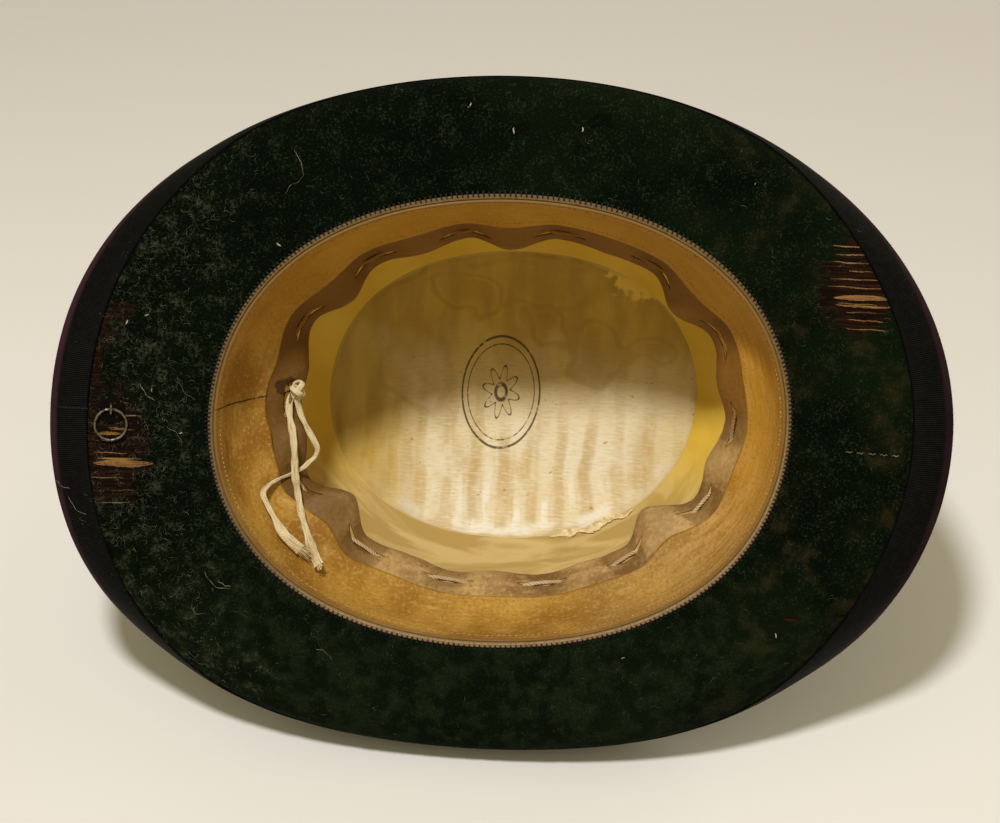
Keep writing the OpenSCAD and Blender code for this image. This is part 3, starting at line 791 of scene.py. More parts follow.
# Fuzz that wear has raised along the fold
random.seed(29)
fuzz = []
for k in range(fuzz_count):
    turn = random.uniform(0, 2 * math.pi)
    t_row = int(turn / (2 * math.pi) * binding_columns)
    start = Vector(binding_grid[t_row, random.randrange(17, 23)])
    outward = (start - Vector((0, 0, start.z))).normalized()
    heading = outward * random.uniform(0.3, 1.0) + Vector((
        random.uniform(-1, 1), random.uniform(-1, 1), random.uniform(-0.5, 0.5)
    )) * 0.8
    step = heading * random.uniform(0.00008, 0.0002)
    curl = Vector((random.uniform(-1, 1), random.uniform(-1, 1), 0)) * 0.00005
    fuzz.append(([start, start + step, start + 2 * step + curl, start + 2.6 * step + 3 * curl], 0.00003))
fuzz_piece = fibre_mesh("fold_fuzz", fuzz)
fuzz_piece.data.materials.append(toned_finish(
    "plum_fuzz", (260.0, 1.0), (0.35, 0.68), (ribbon_black, fold_faded),
    Roughness=0.9, Specular_IOR_Level=0.1,
))
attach(fuzz_piece, "hat")

# The butt joint: one end laid against the other and oversewn
thread_black = (0.004, 0.004, 0.005, 1)
thread_worn = (0.02, 0.02, 0.022, 1)
seam_finish = toned_finish(
    "black_thread", (2500.0, 2.0), (0.35, 0.65), (thread_black, thread_worn), (0.6, 0.0001),
    Roughness=0.6, Specular_IOR_Level=0.2,
)
back_edge = brim_section(np.array([[math.pi]]))[4][0, 0]
ribbon_face_lift = -cloth_thickness - ribbon_thickness
seam_line = []
for k in range(seam_steps + 1):
    along = back_edge - binding_width * (1 - k / seam_steps)
    spot = brim_spot(math.pi, along, ribbon_face_lift - 0.00006)
    seam_line.append(spot + Vector((0, 0.00012 * math.sin(k * 1.9), 0)))
seam_routes = [(seam_line, 0.00013)]
lean_x = 0.0004
for k in range(seam_stitches):
    along = back_edge - binding_width * (0.96 - k / (seam_stitches + 0.5))
    spot = brim_spot(math.pi, along, ribbon_face_lift)
    seam_routes.append(([
        spot + Vector((-lean_x, -0.0007, 0.0001)), spot + Vector((0, 0, -0.00022)),
        spot + Vector((lean_x, 0.0007, 0.0001)),
    ], 0.00011))
seam_piece = fibre_mesh("binding_joint", seam_routes, sides=6)
seam_piece.data.materials.append(seam_finish)
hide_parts("binding_seam")
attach(seam_piece, "hat")


# ---- Crown ribbon and bow ----
# A grosgrain ribbon round the foot of the crown, and on the wearer's left a flat bow: one
# ribbon folded into two loops, with a short length wrapped over its middle.
band_height = 0.038
bow_reach = 0.032
bow_low = 0.002
bow_high = 0.036
loop_fullness = 0.0026
wrap_half = 0.0065
ribbon_rows = 22

ribbon_cloth, tree, shader = finish_material("crown_grosgrain", Roughness=0.6, Specular_IOR_Level=0.2)
run = run_of(tree)
rib = placed(tree, ribs, {"Along": run[0], "Pitch": 0.0011})["Height"]
faded = patches(tree, 22.0, 0.40, 0.72)
crest = times(tree, between(tree, rib, 0.35, 1.0), times_plus(tree, faded, 0.6, 0.4))
painted(tree, shader, blended(tree, crest, ribbon_black, ribbon_crest))
where = here(tree)
fine = clouds(tree, where, 2400.0, 1.0)
bumped(tree, shader, times_plus(tree, fine, 0.15, rib), 0.8, 0.0003)

t = round_angles(480)
lying_flat = felt_thickness + ribbon_thickness
ribbon_rises = row_of(0, rise_at(band_height), ribbon_rows)
slack = 0.0003 * np.sin(5 * t + 1) * row_of(0, 1, ribbon_rows) ** 2 + 0.00012 * np.sin(17 * t)
ribbon_face = crown_point(t, ribbon_rises, lying_flat + np.abs(slack), crown_foot(t))
ribbon_back = crown_point(t, ribbon_rises[:, -1:], felt_thickness - 0.0001, crown_foot(t))
ribbon_foot = crown_point(t, ribbon_rises[:, :1], felt_thickness - 0.0001, crown_foot(t))
ribbon_grid = np.concatenate([ribbon_foot, ribbon_face, ribbon_back], axis=1)
ribbon_run = closed_lengths(ribbon_grid[:, 12])
ribbon = grid_piece("crown_band", ribbon_grid, ribbon_run, lengths(ribbon_grid[0]))
ribbon.data.materials.append(ribbon_cloth)
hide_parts("crown_ribbon")
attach(ribbon, "hat")


def on_side(x, high, out):
    """A point on the wearer's left of the crown: place along it, height up it, distance out."""
    t = np.arccos(x / (half_length + lying_flat))
    return crown_point(t, rise_at(high), out, crown_foot(t))


def thickened(piece, thickness):
    """A sheet given thickness on both sides of its face."""
    solid = piece.modifiers.new("thickness", "SOLIDIFY")
    solid.thickness = thickness
    solid.offset = 0


for name, side in (("bow_loop_front", 1), ("bow_loop_back", -1)):
    share = np.linspace(0, 1, 61)[:, None]
    outer = np.clip((share - 0.52) / 0.48, 0, 1)
    inner = np.clip(1 - share / 0.48, 0, 1)
    turning = np.clip((share - 0.48) / 0.04, 0, 1)
    near = np.where(share < 0.5, inner, outer)
    x = 0.003 + (bow_reach - 0.0036) * (1 - near) + 0.0006 * np.sin(math.pi * turning)
    full = loop_fullness * np.sin(math.pi * np.clip((x - wrap_half) / (bow_reach - wrap_half), 0, 1) ** 0.8)
    out = np.where(share < 0.5, 0.00035, 0.0009 + full)
    out = out + (0.5 - 0.5 * np.cos(math.pi * turning)) * (0.0005 * (share < 0.52))
    row = row_of(0, 1, 16)
    pinch = 0.11 * np.exp(-((x - wrap_half) / 0.007) ** 2)
    high = bow_low + (bow_high - bow_low) * (0.5 + (row - 0.5) * (1 - pinch))
    pleat = 0.00035 * np.sin(row * 26 + 1) * np.exp(-np.maximum(x - wrap_half, 0) / 0.008) * (share > 0.5)
    loop = on_side(side * x + 0 * row, high, lying_flat + out + pleat)
    if side < 0:
        loop = loop[:, ::-1]
    piece = grid_piece(name, loop, lengths(loop[:, 8]), lengths(loop[0]), around=False)
    thickened(piece, ribbon_thickness)
    piece.data.materials.append(ribbon_cloth)
    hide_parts("bow_loops")
    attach(piece, "hat")

turn_over = np.linspace(-math.pi * 0.62, math.pi * 0.62, 41)[:, None]
square = np.sign(np.sin(turn_over)) * np.abs(np.sin(turn_over)) ** 0.45
high = (bow_low + bow_high) / 2 + (bow_high - bow_low) / 2 * 0.94 * square
out = 0.0003 + 0.0017 * np.abs(np.clip(np.cos(turn_over), 0, 1)) ** 0.35
row = row_of(-1, 1, 12)
wrap_x = row * wrap_half * (1 - 0.12 * np.cos(turn_over) ** 2)
wrap_out = lying_flat + out + 0.0002 * np.cos(row * 1.4) + 0.00012 * np.cos(row * 9)
wrap_grid = on_side(wrap_x, high + 0 * row, wrap_out)[:, ::-1]
wrap = grid_piece(
    "bow_wrapped_middle", wrap_grid, lengths(wrap_grid[:, 6]), lengths(wrap_grid[20]), around=False
)
thickened(wrap, ribbon_thickness)
wrap.data.materials.append(ribbon_cloth)
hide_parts("bow_wrap")
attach(wrap, "hat")


# ---- Piping ----
# A cane reed inside a folded cream tape lines the edge of the opening. Black whip stitches
# hold it to the felt, and the sweatband is sewn to the tape's standing edge.
reed_radius = 0.0007
tape_thickness = 0.00035
whip_count = 344
tape_columns = 6 * whip_count
line_angle = math.radians(303)
tape_cream = (0.44, 0.31, 0.15, 1)
tape_pink = (0.38, 0.235, 0.145, 1)
tape_soiled = (0.13, 0.070, 0.028, 1)
tape_upper_shade = (0.25, 0.155, 0.045, 1)
tape_grime_and_shade = (0.085, 0.046, 0.014, 1)
line_dark = (0.25, 0.155, 0.065, 1)
line_pale = (0.52, 0.39, 0.22, 1)
cane_dark = (0.42, 0.29, 0.13, 1)
cane_pale = (0.60, 0.46, 0.24, 1)


def band_point(t, inset, depth):
    """A point inside the opening: angle, inset from its edge, and depth into the crown."""
    return np.stack(np.broadcast_arrays(
        (half_length - inset) * np.cos(t) * oval(t), (half_width - inset) * np.sin(t) * oval(t),
        opening_height(t) + depth,
    ), axis=-1)


def band_spot(angle, inset, depth):
    """One point inside the opening, at one angle."""
    return Vector(band_point(np.array([[angle]]), inset, depth)[0, 0])


def grimed_and_shaded(tree, place, colour, least, most_back, most_right):
    """A colour under an even grime, darkened further toward the back and toward the wearer's right by
    painted shade.
    """
    back = between(tree, place[0], -0.045, -0.085, least, most_back)
    right = between(tree, place[1], 0.03, -0.04, least, most_right)
    return blended(tree, sum_of(tree, "MAXIMUM", back, right), colour, tape_grime_and_shade)


tape, tree, shader = finish_material("cream_piping_tape", Roughness=0.75, Specular_IOR_Level=0.2)
run = run_of(tree)
where = here(tree)
soiled = patches(tree, 90.0, 0.46, 0.78)
inner_side = between(tree, run[1], 0.0026, 0.0031)
colour = blended(tree, inner_side, tape_pink, tape_cream)
grooves = off_from(tree, run[1], 0.0029)
grooves = between(tree, grooves, 0.00005, 0.0002, 1.0, 0.0)
second = off_from(tree, run[1], 0.0038)
grooves = sum_of(tree, "MAXIMUM", grooves, between(tree, second, 0.00005, 0.00018, 0.8, 0.0))
darkening = sum_of(tree, "MAXIMUM", times(tree, soiled, 0.55), times(tree, grooves, 0.8))
colour = blended(tree, darkening, colour, tape_soiled)
place = split(tree, where)
# Painted shade: the tape darkens toward the wearer's right (-Y), its shaded upper side, and a little toward
# the front.
upper_shade_share = between(tree, times_plus(tree, place[0], -0.2, place[1]), 0.04, -0.04, 0.0, 0.8)
colour = blended(tree, upper_shade_share, colour, tape_upper_shade)
painted(tree, shader, grimed_and_shaded(tree, place, colour, 0.32, 0.72, 0.66))
weave_run = add(tree, "CombineXYZ", {0: run[0], 1: run[1], 2: 0.0}).outputs[0]
bumped(tree, shader, clouds(tree, weave_run, 2300.0, 2.0), 0.6, 0.0002)

t = round_angles(tape_columns)
reed_inset = reed_radius + tape_thickness + 0.0001
reed_depth = reed_radius + tape_thickness - cloth_thickness
turn_at = np.radians(row_of(118, 395, 34))
radius = reed_radius + tape_thickness
for groove in (268, 308):
    radius = radius - 0.00014 * np.exp(-((turn_at - math.radians(groove)) / math.radians(8)) ** 2)
bulge = 0.5 + 0.5 * np.cos(whip_count * t)
covered = np.exp(-((turn_at - math.radians(215)) / math.radians(38)) ** 4)
radius = radius + 0.00009 * bulge * covered - 0.00005 * covered
tape_face = band_point(t, reed_inset + radius * np.cos(turn_at), reed_depth + radius * np.sin(turn_at))
standing = band_point(t, reed_inset + reed_radius, row_of(0.0016, 0.007, 6) + 0 * t)
tape_grid = np.concatenate([tape_face, standing], axis=1)
tape_piece = grid_piece("piping_tape", tape_grid, round_run(tape_columns), lengths(tape_grid[0]))
tape_piece.data.materials.append(tape)
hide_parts("reed_tape")
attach(tape_piece, "hat")

random.seed(31)
whips = []
for k in range(whip_count):
    middle = 2 * math.pi * (k + 0.5) / whip_count
    slant = random.uniform(0.0010, 0.0026)
    hook = random.uniform(0.0004, 0.0011)
    route = [
        brim_spot(middle - slant / 2, hook, -cloth_thickness + 0.0001),
        brim_spot(middle - slant / 2, hook * 0.8, -cloth_thickness - 0.0002),
    ]
    reach = random.uniform(268, 288)
    for step in range(5):
        share = step / 4
        a = math.radians(224 + (reach - 224) * share)
        out = reed_radius + tape_thickness + (0.00016 if step < 4 else -0.00008)
        at = middle + slant * (share - 0.5)
        route.append(band_spot(at, reed_inset + out * math.cos(a), reed_depth + out * math.sin(a)))
    whips.append((route, random.uniform(0.00025, 0.00033)))
whip_piece = fibre_mesh("whip_stitching", whips, sides=6)
whip_piece.data.materials.append(seam_finish)
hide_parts("reed_stitches")
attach(whip_piece, "hat")

# The cream thread laid along the foot of the piping
line_finish, tree, shader = finish_material("cream_thread", Roughness=0.7, Specular_IOR_Level=0.2)
where = here(tree)
twist = clouds(tree, where, 1300.0, 2.0)
place = split(tree, where)
colour = blended(tree, between(tree, twist, 0.35, 0.62), line_dark, line_pale)
painted(tree, shader, grimed_and_shaded(tree, place, colour, 0.2, 0.7, 0.7))
bumped(tree, shader, twist, 0.5, 0.0001)
t = round_angles(1200)
line = band_point(
    t, reed_inset + (reed_radius + tape_thickness) * math.cos(line_angle),
    reed_depth + (reed_radius + tape_thickness) * math.sin(line_angle) + 0.00003 * np.sin(t * 400),
)[:, 0]
line = [Vector(p) for p in np.concatenate([line, line[:1]])]
line_piece = fibre_mesh("piping_thread", [(line, 0.00016)], sides=6)
line_piece.data.materials.append(line_finish)
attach(line_piece, "hat")

reed_finish, tree, shader = finish_material("split_cane", Roughness=0.45)
growth = clouds(tree, here(tree), 300.0, 3.0)
painted(tree, shader, blended(tree, growth, cane_dark, cane_pale))
bumped(tree, shader, growth, 0.3, 0.0001)
bpy.data.objects["reed"].material_slots[0].material = reed_finish


# ---- Sweatband ----
# A long strip of thin tan sheepskin, butted at the back, sewn to the piping tape and turned
# into the crown. Wear has creased it lengthwise, rubbed its finish off and left it mottled.
leather_thickness = 0.001
leather_depth = 0.032
strip_lap = 0.004
strip_depth = 0.043
slit_depth = 0.0375
slit_count = 14
leather_inset = 2 * (reed_radius + tape_thickness) + 0.0003
leather_tan = (0.50, 0.285, 0.048, 1)
leather_dark = (0.29, 0.135, 0.014, 1)
leather_pale = (0.64, 0.43, 0.16, 1)
leather_pink = (0.64, 0.395, 0.165, 1)
leather_greased = (0.36, 0.215, 0.055, 1)
leather_joint = (0.045, 0.012, 0.003, 1)
leather_shaded = (0.43, 0.205, 0.002, 1)
leather_lip_shade = (0.17, 0.090, 0.022, 1)
wax_dark = (0.30, 0.16, 0.04, 1)
wax_pale = (0.62, 0.42, 0.18, 1)
knot_at = math.pi
leather_columns = 896
leather_rows = 56
leather_start = 0.0003
joint_x = -0.098
joint_slope = 0.19
joint_stitches = 8
slit_shift = 0.0587
missing_stitches = 0.06
band_stitch_count = 300
band_stitch_depth = 0.0043


def from_knot(t):
    """How far an angle is from the back of the hat."""
    return np.abs((t - knot_at + math.pi) % (2 * math.pi) - math.pi)


def bump_at(t, degrees, wide):
    """A smooth swelling centred at an angle round the head."""
    off = (t - math.radians(degrees) + math.pi) % (2 * math.pi) - math.pi
    return np.exp(-(off / math.radians(wide)) ** 2)


def stretched(tree, run, along, over):
    """A place on a piece, scaled along it and over it."""
    return add(
        tree, "CombineXYZ", {0: times(tree, run[0], along), 1: times(tree, run[1], over), 2: 0.0}
    ).outputs[0]


def slit_turn(t):
    """An angle round the head, counted so that the slits are even."""
    return t - slit_shift * np.sin(2 * t)


def drawn_in(t, depth):
    """How far the drawstring has drawn the sweatband in at an angle and a depth."""
    drawn = 0.0153 + 0.0022 * np.cos(2 * t) + 0.0012 * np.sin(t) - 0.0006 * np.cos(t)
    drawn = drawn + 0.0030 * bump_at(t, 48, 14) + 0.0022 * bump_at(t, 138, 18)
    share = np.clip(depth / strip_depth, 0, 1.1)
    sag = 0.0044 * bump_at(t, 180, 15) * np.clip((depth - 0.029) / 0.013, 0, 1)
    return drawn * np.sin(np.minimum(share ** 2.15, 1) * math.pi / 2) ** 2 + sag


# Fullness of the lobe between each slit and the next, from the front of the hat
lobe_sizes = np.array((
    0.0030, 0.0085, 0.0015, 0.0015, 0.0015, 0.0080, 0.0040,
    0.0030, 0.0055, 0.0025, 0.0055, 0.0010, 0.0065, 0.0030,
))


def band_inset(t, depth):
    """Inset of the sweatband and the strip at an angle and a depth: drawn in by the string,
    with a lobe between each two slits."""
    turn = slit_turn(t) * slit_count / (2 * math.pi)
    size = lobe_sizes[np.floor(turn).astype(int) % slit_count]
    rising = np.clip((depth - 0.024) / 0.015, 0, 1) ** 1.3
    lobe = size * (0.5 - 0.5 * np.cos(2 * math.pi * turn)) * rising
    return leather_inset + drawn_in(t, depth) + lobe


leather, tree, shader = finish_material("worn_tan_leather", Roughness=0.55, Specular_IOR_Level=0.22)
run = run_of(tree)
where = here(tree)
place = split(tree, where)
drawn = stretched(tree, run, 55.0, 420.0)
creases = clouds(tree, drawn, 1.0, 5.0, Roughness=0.6)
fine_creases = clouds(tree, drawn, 4.5, 3.0)
blotches = patches(tree, 36.0, 0.36, 0.66)
colour = blended(tree, blotches, leather_dark, leather_tan)
pink_side = times(tree, between(tree, place[0], 0.02, 0.085), between(tree, creases, 0.32, 0.62))
colour = blended(tree, times(tree, pink_side, 0.75), colour, leather_pink)
greased = times(tree, between(tree, place[0], 0.015, 0.05), between(tree, place[1], 0.015, 0.05))
colour = blended(tree, times(tree, greased, 0.42), colour, leather_greased)
rubbed = patches(tree, 75.0, 0.50, 0.72)
rubbed = times(tree, rubbed, between(tree, creases, 0.45, 0.66))
colour = blended(tree, times(tree, rubbed, 0.65), colour, leather_pale)
grime = between(tree, run[1], 0.0035, 0.0095, 0.55, 0.0)
grime = times(tree, grime, between(tree, creases, 0.38, 0.6))
colour = blended(tree, grime, colour, leather_dark)
flecks = clouds(tree, drawn, 9.0, 2.0)
colour = blended(tree, between(tree, flecks, 0.63, 0.72, 0.0, 0.5), colour, leather_pale)
slanted = times_plus(tree, sum_of(tree, "ADD", place[0], -joint_x), joint_slope, place[1])
wander = clouds(tree, where, 420.0, 2.0)
slanted = sum_of(tree, "ADD", slanted, times_plus(tree, wander, 0.0005, -0.00025))
joint = between(tree, sum_of(tree, "ABSOLUTE", slanted), 0.00012, 0.00036, 1.0, 0.0)
joint = times(tree, joint, between(tree, place[0], -0.05, -0.06))
colour = blended(tree, joint, colour, leather_joint)
grain = clouds(tree, where, 750.0, 4.0)
colour = blended(tree, between(tree, grain, 0.52, 0.68, 0.0, 0.35), colour, leather_pale)
colour = blended(tree, between(tree, grain, 0.46, 0.33, 0.0, 0.5), colour, leather_dark)
shade = between(tree, times_plus(tree, place[0], -0.35, place[1]), 0.035, -0.035)
colour = blended(tree, times(tree, shade, 0.7), colour, leather_shaded)
# Painted shade on the lip, where the leather turns under the piping.
colour = blended(tree, between(tree, run[1], 0.0018, 0.0030, 0.85, 0.0), colour, leather_lip_shade)
painted(tree, shader, colour)
pores = add(tree, "TexVoronoi", {"Vector": where, "Scale": 1500.0}).outputs["Distance"]
height = times_plus(tree, pores, 0.15, times_plus(tree, fine_creases, 0.4, creases))
height = sum_of(tree, "SUBTRACT", height, times(tree, joint, 1.5))
height = times_plus(tree, grain, 0.5, height)
bumped(tree, shader, height, 0.6, 0.0006)
tree.links.new(between(tree, creases, 0.3, 0.7, 0.42, 0.68), shader.inputs["Roughness"])

t = round_angles(leather_columns)
depth_rows = row_of(leather_start, leather_depth, leather_rows)
puckers = 0.0
for degrees, wide, deep, high in (
    (136, 5, 0.0012, 0.031), (147, 4, 0.0010, 0.029), (158, 5, 0.0011, 0.031),
    (171, 4, 0.0007, 0.029), (196, 6, 0.0006, 0.028), (118, 6, 0.0007, 0.031),
):
    puckers = puckers + deep * bump_at(t, degrees, wide) * np.exp(-((depth_rows - high) / 0.006) ** 2)
waves = np.zeros((leather_columns, leather_rows))
for i, j in np.ndindex(waves.shape):
    angle, deep = t[i, 0], depth_rows[0, j]
    ring = Vector((math.cos(angle) * 3.2, math.sin(angle) * 3.2, deep * 95))
    waves[i, j] = noise.noise(ring) + 0.5 * noise.noise(ring * 2.3)
waves = waves * 0.00042 * np.clip(depth_rows / 0.01, 0.2, 1)
leather_face = band_point(
    t, band_inset(t, depth_rows) + leather_thickness + waves + puckers, depth_rows
)
leather_edge = band_point(
    t, band_inset(t, leather_depth) + 0.0004 + puckers[:, -1:], np.full_like(t, leather_depth + 0.0003)
)
leather_back = band_point(t, band_inset(t, depth_rows[:, ::-1]) + 0.0001, depth_rows[:, ::-1])
lip_turn = np.radians(row_of(150, 345, 9))
leather_lip = band_point(
    t, leather_inset + 0.00035 + 0.0006 * np.cos(lip_turn), leather_start + 0.0006 * np.sin(lip_turn)
)
leather_grid = np.concatenate([leather_lip, leather_face, leather_edge, leather_back], axis=1)
leather_piece = grid_piece(
    "tan_sweatband", leather_grid[:, ::-1], round_run(leather_columns), lengths(leather_grid[0])[::-1]
)
leather_piece.data.materials.append(leather)
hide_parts("sweatband_leather")
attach(leather_piece, "hat")

tan_thread = toned_finish(
    "waxed_tan_thread", (1500.0, 2.0), (0.35, 0.65), (wax_dark, wax_pale),
    (0.5, 0.0001), Roughness=0.6,
)


def running_stitches(count, share, depth, lift, radius):
    """A row of stitches round the sweatband, each as long as a share of its own pitch."""
    routes = []
    for k in range(count):
        if random.random() < missing_stitches:
            continue
        low = 2 * math.pi * k / count
        route = []
        for step in range(5):
            at = low + 2 * math.pi / count * share * step / 4
            high = lift * (1 if 0 < step < 4 else -1)
            i = int(round(at / (2 * math.pi) * leather_columns)) % leather_columns
            j = int(round((depth - leather_start) / (leather_depth - leather_start) * (leather_rows - 1)))
            inset = float(band_inset(np.array(at), depth)) + leather_thickness + waves[i, j]
            route.append(band_spot(at, inset + high, depth))
        routes.append((route, radius))
    return routes


random.seed(41)
band_sewing = fibre_mesh(
    "sweatband_stitching",
    running_stitches(band_stitch_count, 0.62, band_stitch_depth, 0.00014, 0.00017), sides=6,
)
band_sewing.data.materials.append(tan_thread)
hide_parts("band_stitches")
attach(band_sewing, "hat")

joint_sewing = []
for k in range(joint_stitches):
    deep = leather_depth * (k + 1) / 9.5
    x = -(half_length - float(band_inset(np.array(math.pi), deep)) - leather_thickness)
    y = -(x - joint_x) * joint_slope
    spot = Vector((x, y, float(opening_height(math.pi)) + deep))
    bent = ((-0.0002, -0.0006, 0), (0.00016, 0, 0), (-0.0002, 0.0006, 0))
    joint_sewing.append(([spot + Vector(off) for off in bent], 0.00010))
joint_piece = fibre_mesh("sweatband_joint", joint_sewing, sides=6)
joint_piece.data.materials.append(seam_finish)
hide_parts("back_seam_thread")
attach(joint_piece, "hat")


# ---- Lacing strip ----
# A thin taupe leather strip sewn along the sweatband's deep edge. Its fourteen slits carry
# the drawstring, which gathers it into lobes.
strip_thickness = 0.0007
slit_half = math.radians(7.0)
slit_open = 0.00095
lower_rows = 16
upper_rows = 10
strip_stitch_count = 330
strip_stitch_depth = 0.0305
strip_taupe = (0.475, 0.305, 0.115, 1)
strip_shade = (0.24, 0.125, 0.040, 1)
strip_rubbed_and_lit = (0.61, 0.43, 0.185, 1)
strip_deep = (0.175, 0.069, 0.002, 1)
strip_hollow_shade = (0.13, 0.060, 0.012, 1)
strip_back_shade = (0.115, 0.048, 0.005, 1)
strip_lap_shadow = (0.10, 0.045, 0.010, 1)
strip_slit_shadow = (0.045, 0.017, 0.005, 1)

taupe, tree, shader = finish_material("thin_taupe_leather", Roughness=0.6, Specular_IOR_Level=0.2)
run = run_of(tree)
where = here(tree)
drawn = stretched(tree, run, 90.0, 300.0)
creases = clouds(tree, drawn, 1.0, 5.0, Roughness=0.6)
blotches = patches(tree, 48.0, 0.36, 0.66)
colour = blended(tree, blotches, strip_shade, strip_taupe)
rubbed = times(tree, between(tree, creases, 0.48, 0.68), 0.5)
colour = blended(tree, rubbed, colour, strip_rubbed_and_lit)
place = split(tree, where)
grain = clouds(tree, where, 620.0, 5.0)
colour = blended(tree, between(tree, grain, 0.52, 0.70, 0.0, 0.45), colour, strip_rubbed_and_lit)
colour = blended(tree, between(tree, grain, 0.46, 0.32, 0.0, 0.6), colour, strip_shade)
relief = add(tree, "Attribute", attribute_name="relief").outputs["Fac"]
# Painted light on the raised parts of the lobes, from their relief.
colour = blended(tree, between(tree, relief, 0.1, 0.8, 0.0, 0.3), colour, strip_rubbed_and_lit)
shade = between(tree, times_plus(tree, place[0], -0.15, place[1]), 0.044, -0.024)
lit_end = times(tree, between(tree, place[0], 0.048, 0.066), between(tree, place[1], -0.008, 0.006))
shade = times(tree, shade, between(tree, lit_end, 0.0, 1.0, 0.88, 0.35))
colour = blended(tree, shade, colour, strip_deep)
# Painted shade in the hollows between the lobes, from their relief.
colour = blended(tree, between(tree, relief, -0.05, -0.6, 0.0, 0.5), colour, strip_hollow_shade)
# Painted shade: the strip darkens toward the back, less toward the wearer's right, where the shade above
# already darkens it.
back_shade = between(tree, place[0], -0.036, -0.064)
back_shade = times(tree, back_shade, between(tree, place[1], -0.034, -0.016, 0.25, 0.74))
colour = blended(tree, back_shade, colour, strip_back_shade)
# Painted shadow: a dark line along the strip just past the sweatband's edge, which lies over it.
darkening = between(tree, run[1], strip_lap + 0.0013, strip_lap + 0.0004, 0.0, 0.5)
colour = blended(tree, darkening, colour, strip_lap_shadow)
# Painted shade: a dark patch at the back slit, beside the knot, where the slit lies in shadow.
patch_mask = patch_at(tree, (-0.0780, -0.0055, 0.0485), (0.007, 0.0042, 0.0045), 1.2)
colour = blended(tree, times(tree, patch_mask, 0.85), colour, strip_slit_shadow)
painted(tree, shader, colour)
pores = add(tree, "TexVoronoi", {"Vector": where, "Scale": 1400.0}).outputs["Distance"]
height = times_plus(tree, grain, 0.7, times_plus(tree, pores, 0.2, creases))
bumped(tree, shader, height, 0.6, 0.0006)
tree.links.new(between(tree, creases, 0.3, 0.7, 0.48, 0.7), shader.inputs["Roughness"])

t = round_angles(slit_count * 72)
to_slit = np.abs((slit_turn(t) * slit_count / (2 * math.pi) + 0.5) % 1 - 0.5) * 2 * math.pi / slit_count
opened = np.clip(1 - (to_slit / slit_half) ** 2, 0, 1) ** 0.7
at_knot = from_knot(t) < math.radians(8)
opened = np.where(at_knot, opened * 0.7, opened) * slit_open
lower = leather_depth - strip_lap + (slit_depth - leather_depth + strip_lap) * row_of(0, 1, lower_rows)
lower = lower - opened * row_of(0, 1, lower_rows) ** 3
upper = slit_depth + (strip_depth - slit_depth) * row_of(0, 1, upper_rows)
upper = upper + opened * 0.7 * row_of(1, 0, upper_rows) ** 2
ragged = np.zeros_like(t)
for i in range(len(t)):
    ring = Vector((math.cos(t[i, 0]) * 2.6, math.sin(t[i, 0]) * 2.6, 4.0))
    ragged[i, 0] = 0.0013 * noise.noise(ring) + 0.0003 * noise.noise(ring * 9)
upper = upper + ragged * row_of(0, 1, upper_rows) ** 2
depths = np.concatenate([lower, upper], axis=1)
wrinkles = np.zeros(depths.shape)
for i, j in np.ndindex(depths.shape):
    ring = Vector((math.cos(t[i, 0]) * 6, math.sin(t[i, 0]) * 6, depths[i, j] * 130))
    wrinkles[i, j] = 0.00045 * noise.noise(ring) + 0.0002 * noise.noise(ring * 2.7)
lip = opened * np.exp(-((depths - slit_depth) / 0.0022) ** 2) * 0.35
folded = 0.0016 * bump_at(t, 141, 4) + 0.0013 * bump_at(t, 152, 3.5) + 0.0009 * bump_at(t, 166, 3)
folded = folded * np.exp(-((depths - 0.036) / 0.0035) ** 2)
tucked = 0.0009 * np.clip((leather_depth + 0.001 - depths) / 0.003, 0, 1)
strip_inset = band_inset(t, depths) + 0.0002 + wrinkles - lip + folded - tucked
strip_grid = band_point(t, strip_inset, depths)
strip_piece = grid_piece(
    "lacing_band", strip_grid[:, ::-1], round_run(len(t)), lengths(strip_grid[0])[::-1]
)
level = sum(np.roll(strip_inset, step, axis=0) for step in range(-36, 37, 6)) / 13
relief = np.clip((strip_inset - level) / 0.0014, -1, 1)[:, ::-1]
strip_piece.data.attributes.new("relief", "FLOAT", "POINT").data.foreach_set("value", relief.ravel())
shaped = bmesh.new()
shaped.from_mesh(strip_piece.data)
shaped.faces.ensure_lookup_table()
rows = depths.shape[1]
lips = [shaped.faces[i * (rows - 1) + rows - 1 - lower_rows] for i in range(len(t))]
bmesh.ops.delete(shaped, geom=lips, context="FACES_ONLY")
bmesh.ops.remove_doubles(shaped, verts=shaped.verts, dist=0.00001)
shaped.to_mesh(strip_piece.data)
shaped.free()
thickened(strip_piece, strip_thickness * 0.8)
strip_piece.data.materials.append(taupe)
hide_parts("lacing_strip")
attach(strip_piece, "hat")

random.seed(43)
strip_sewing = fibre_mesh(
    "strip_stitching",
    running_stitches(strip_stitch_count, 0.55, strip_stitch_depth, 0.00012, 0.00013), sides=5,
)
strip_sewing.data.materials.append(tan_thread)
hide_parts("strip_seam_thread")
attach(strip_sewing, "hat")


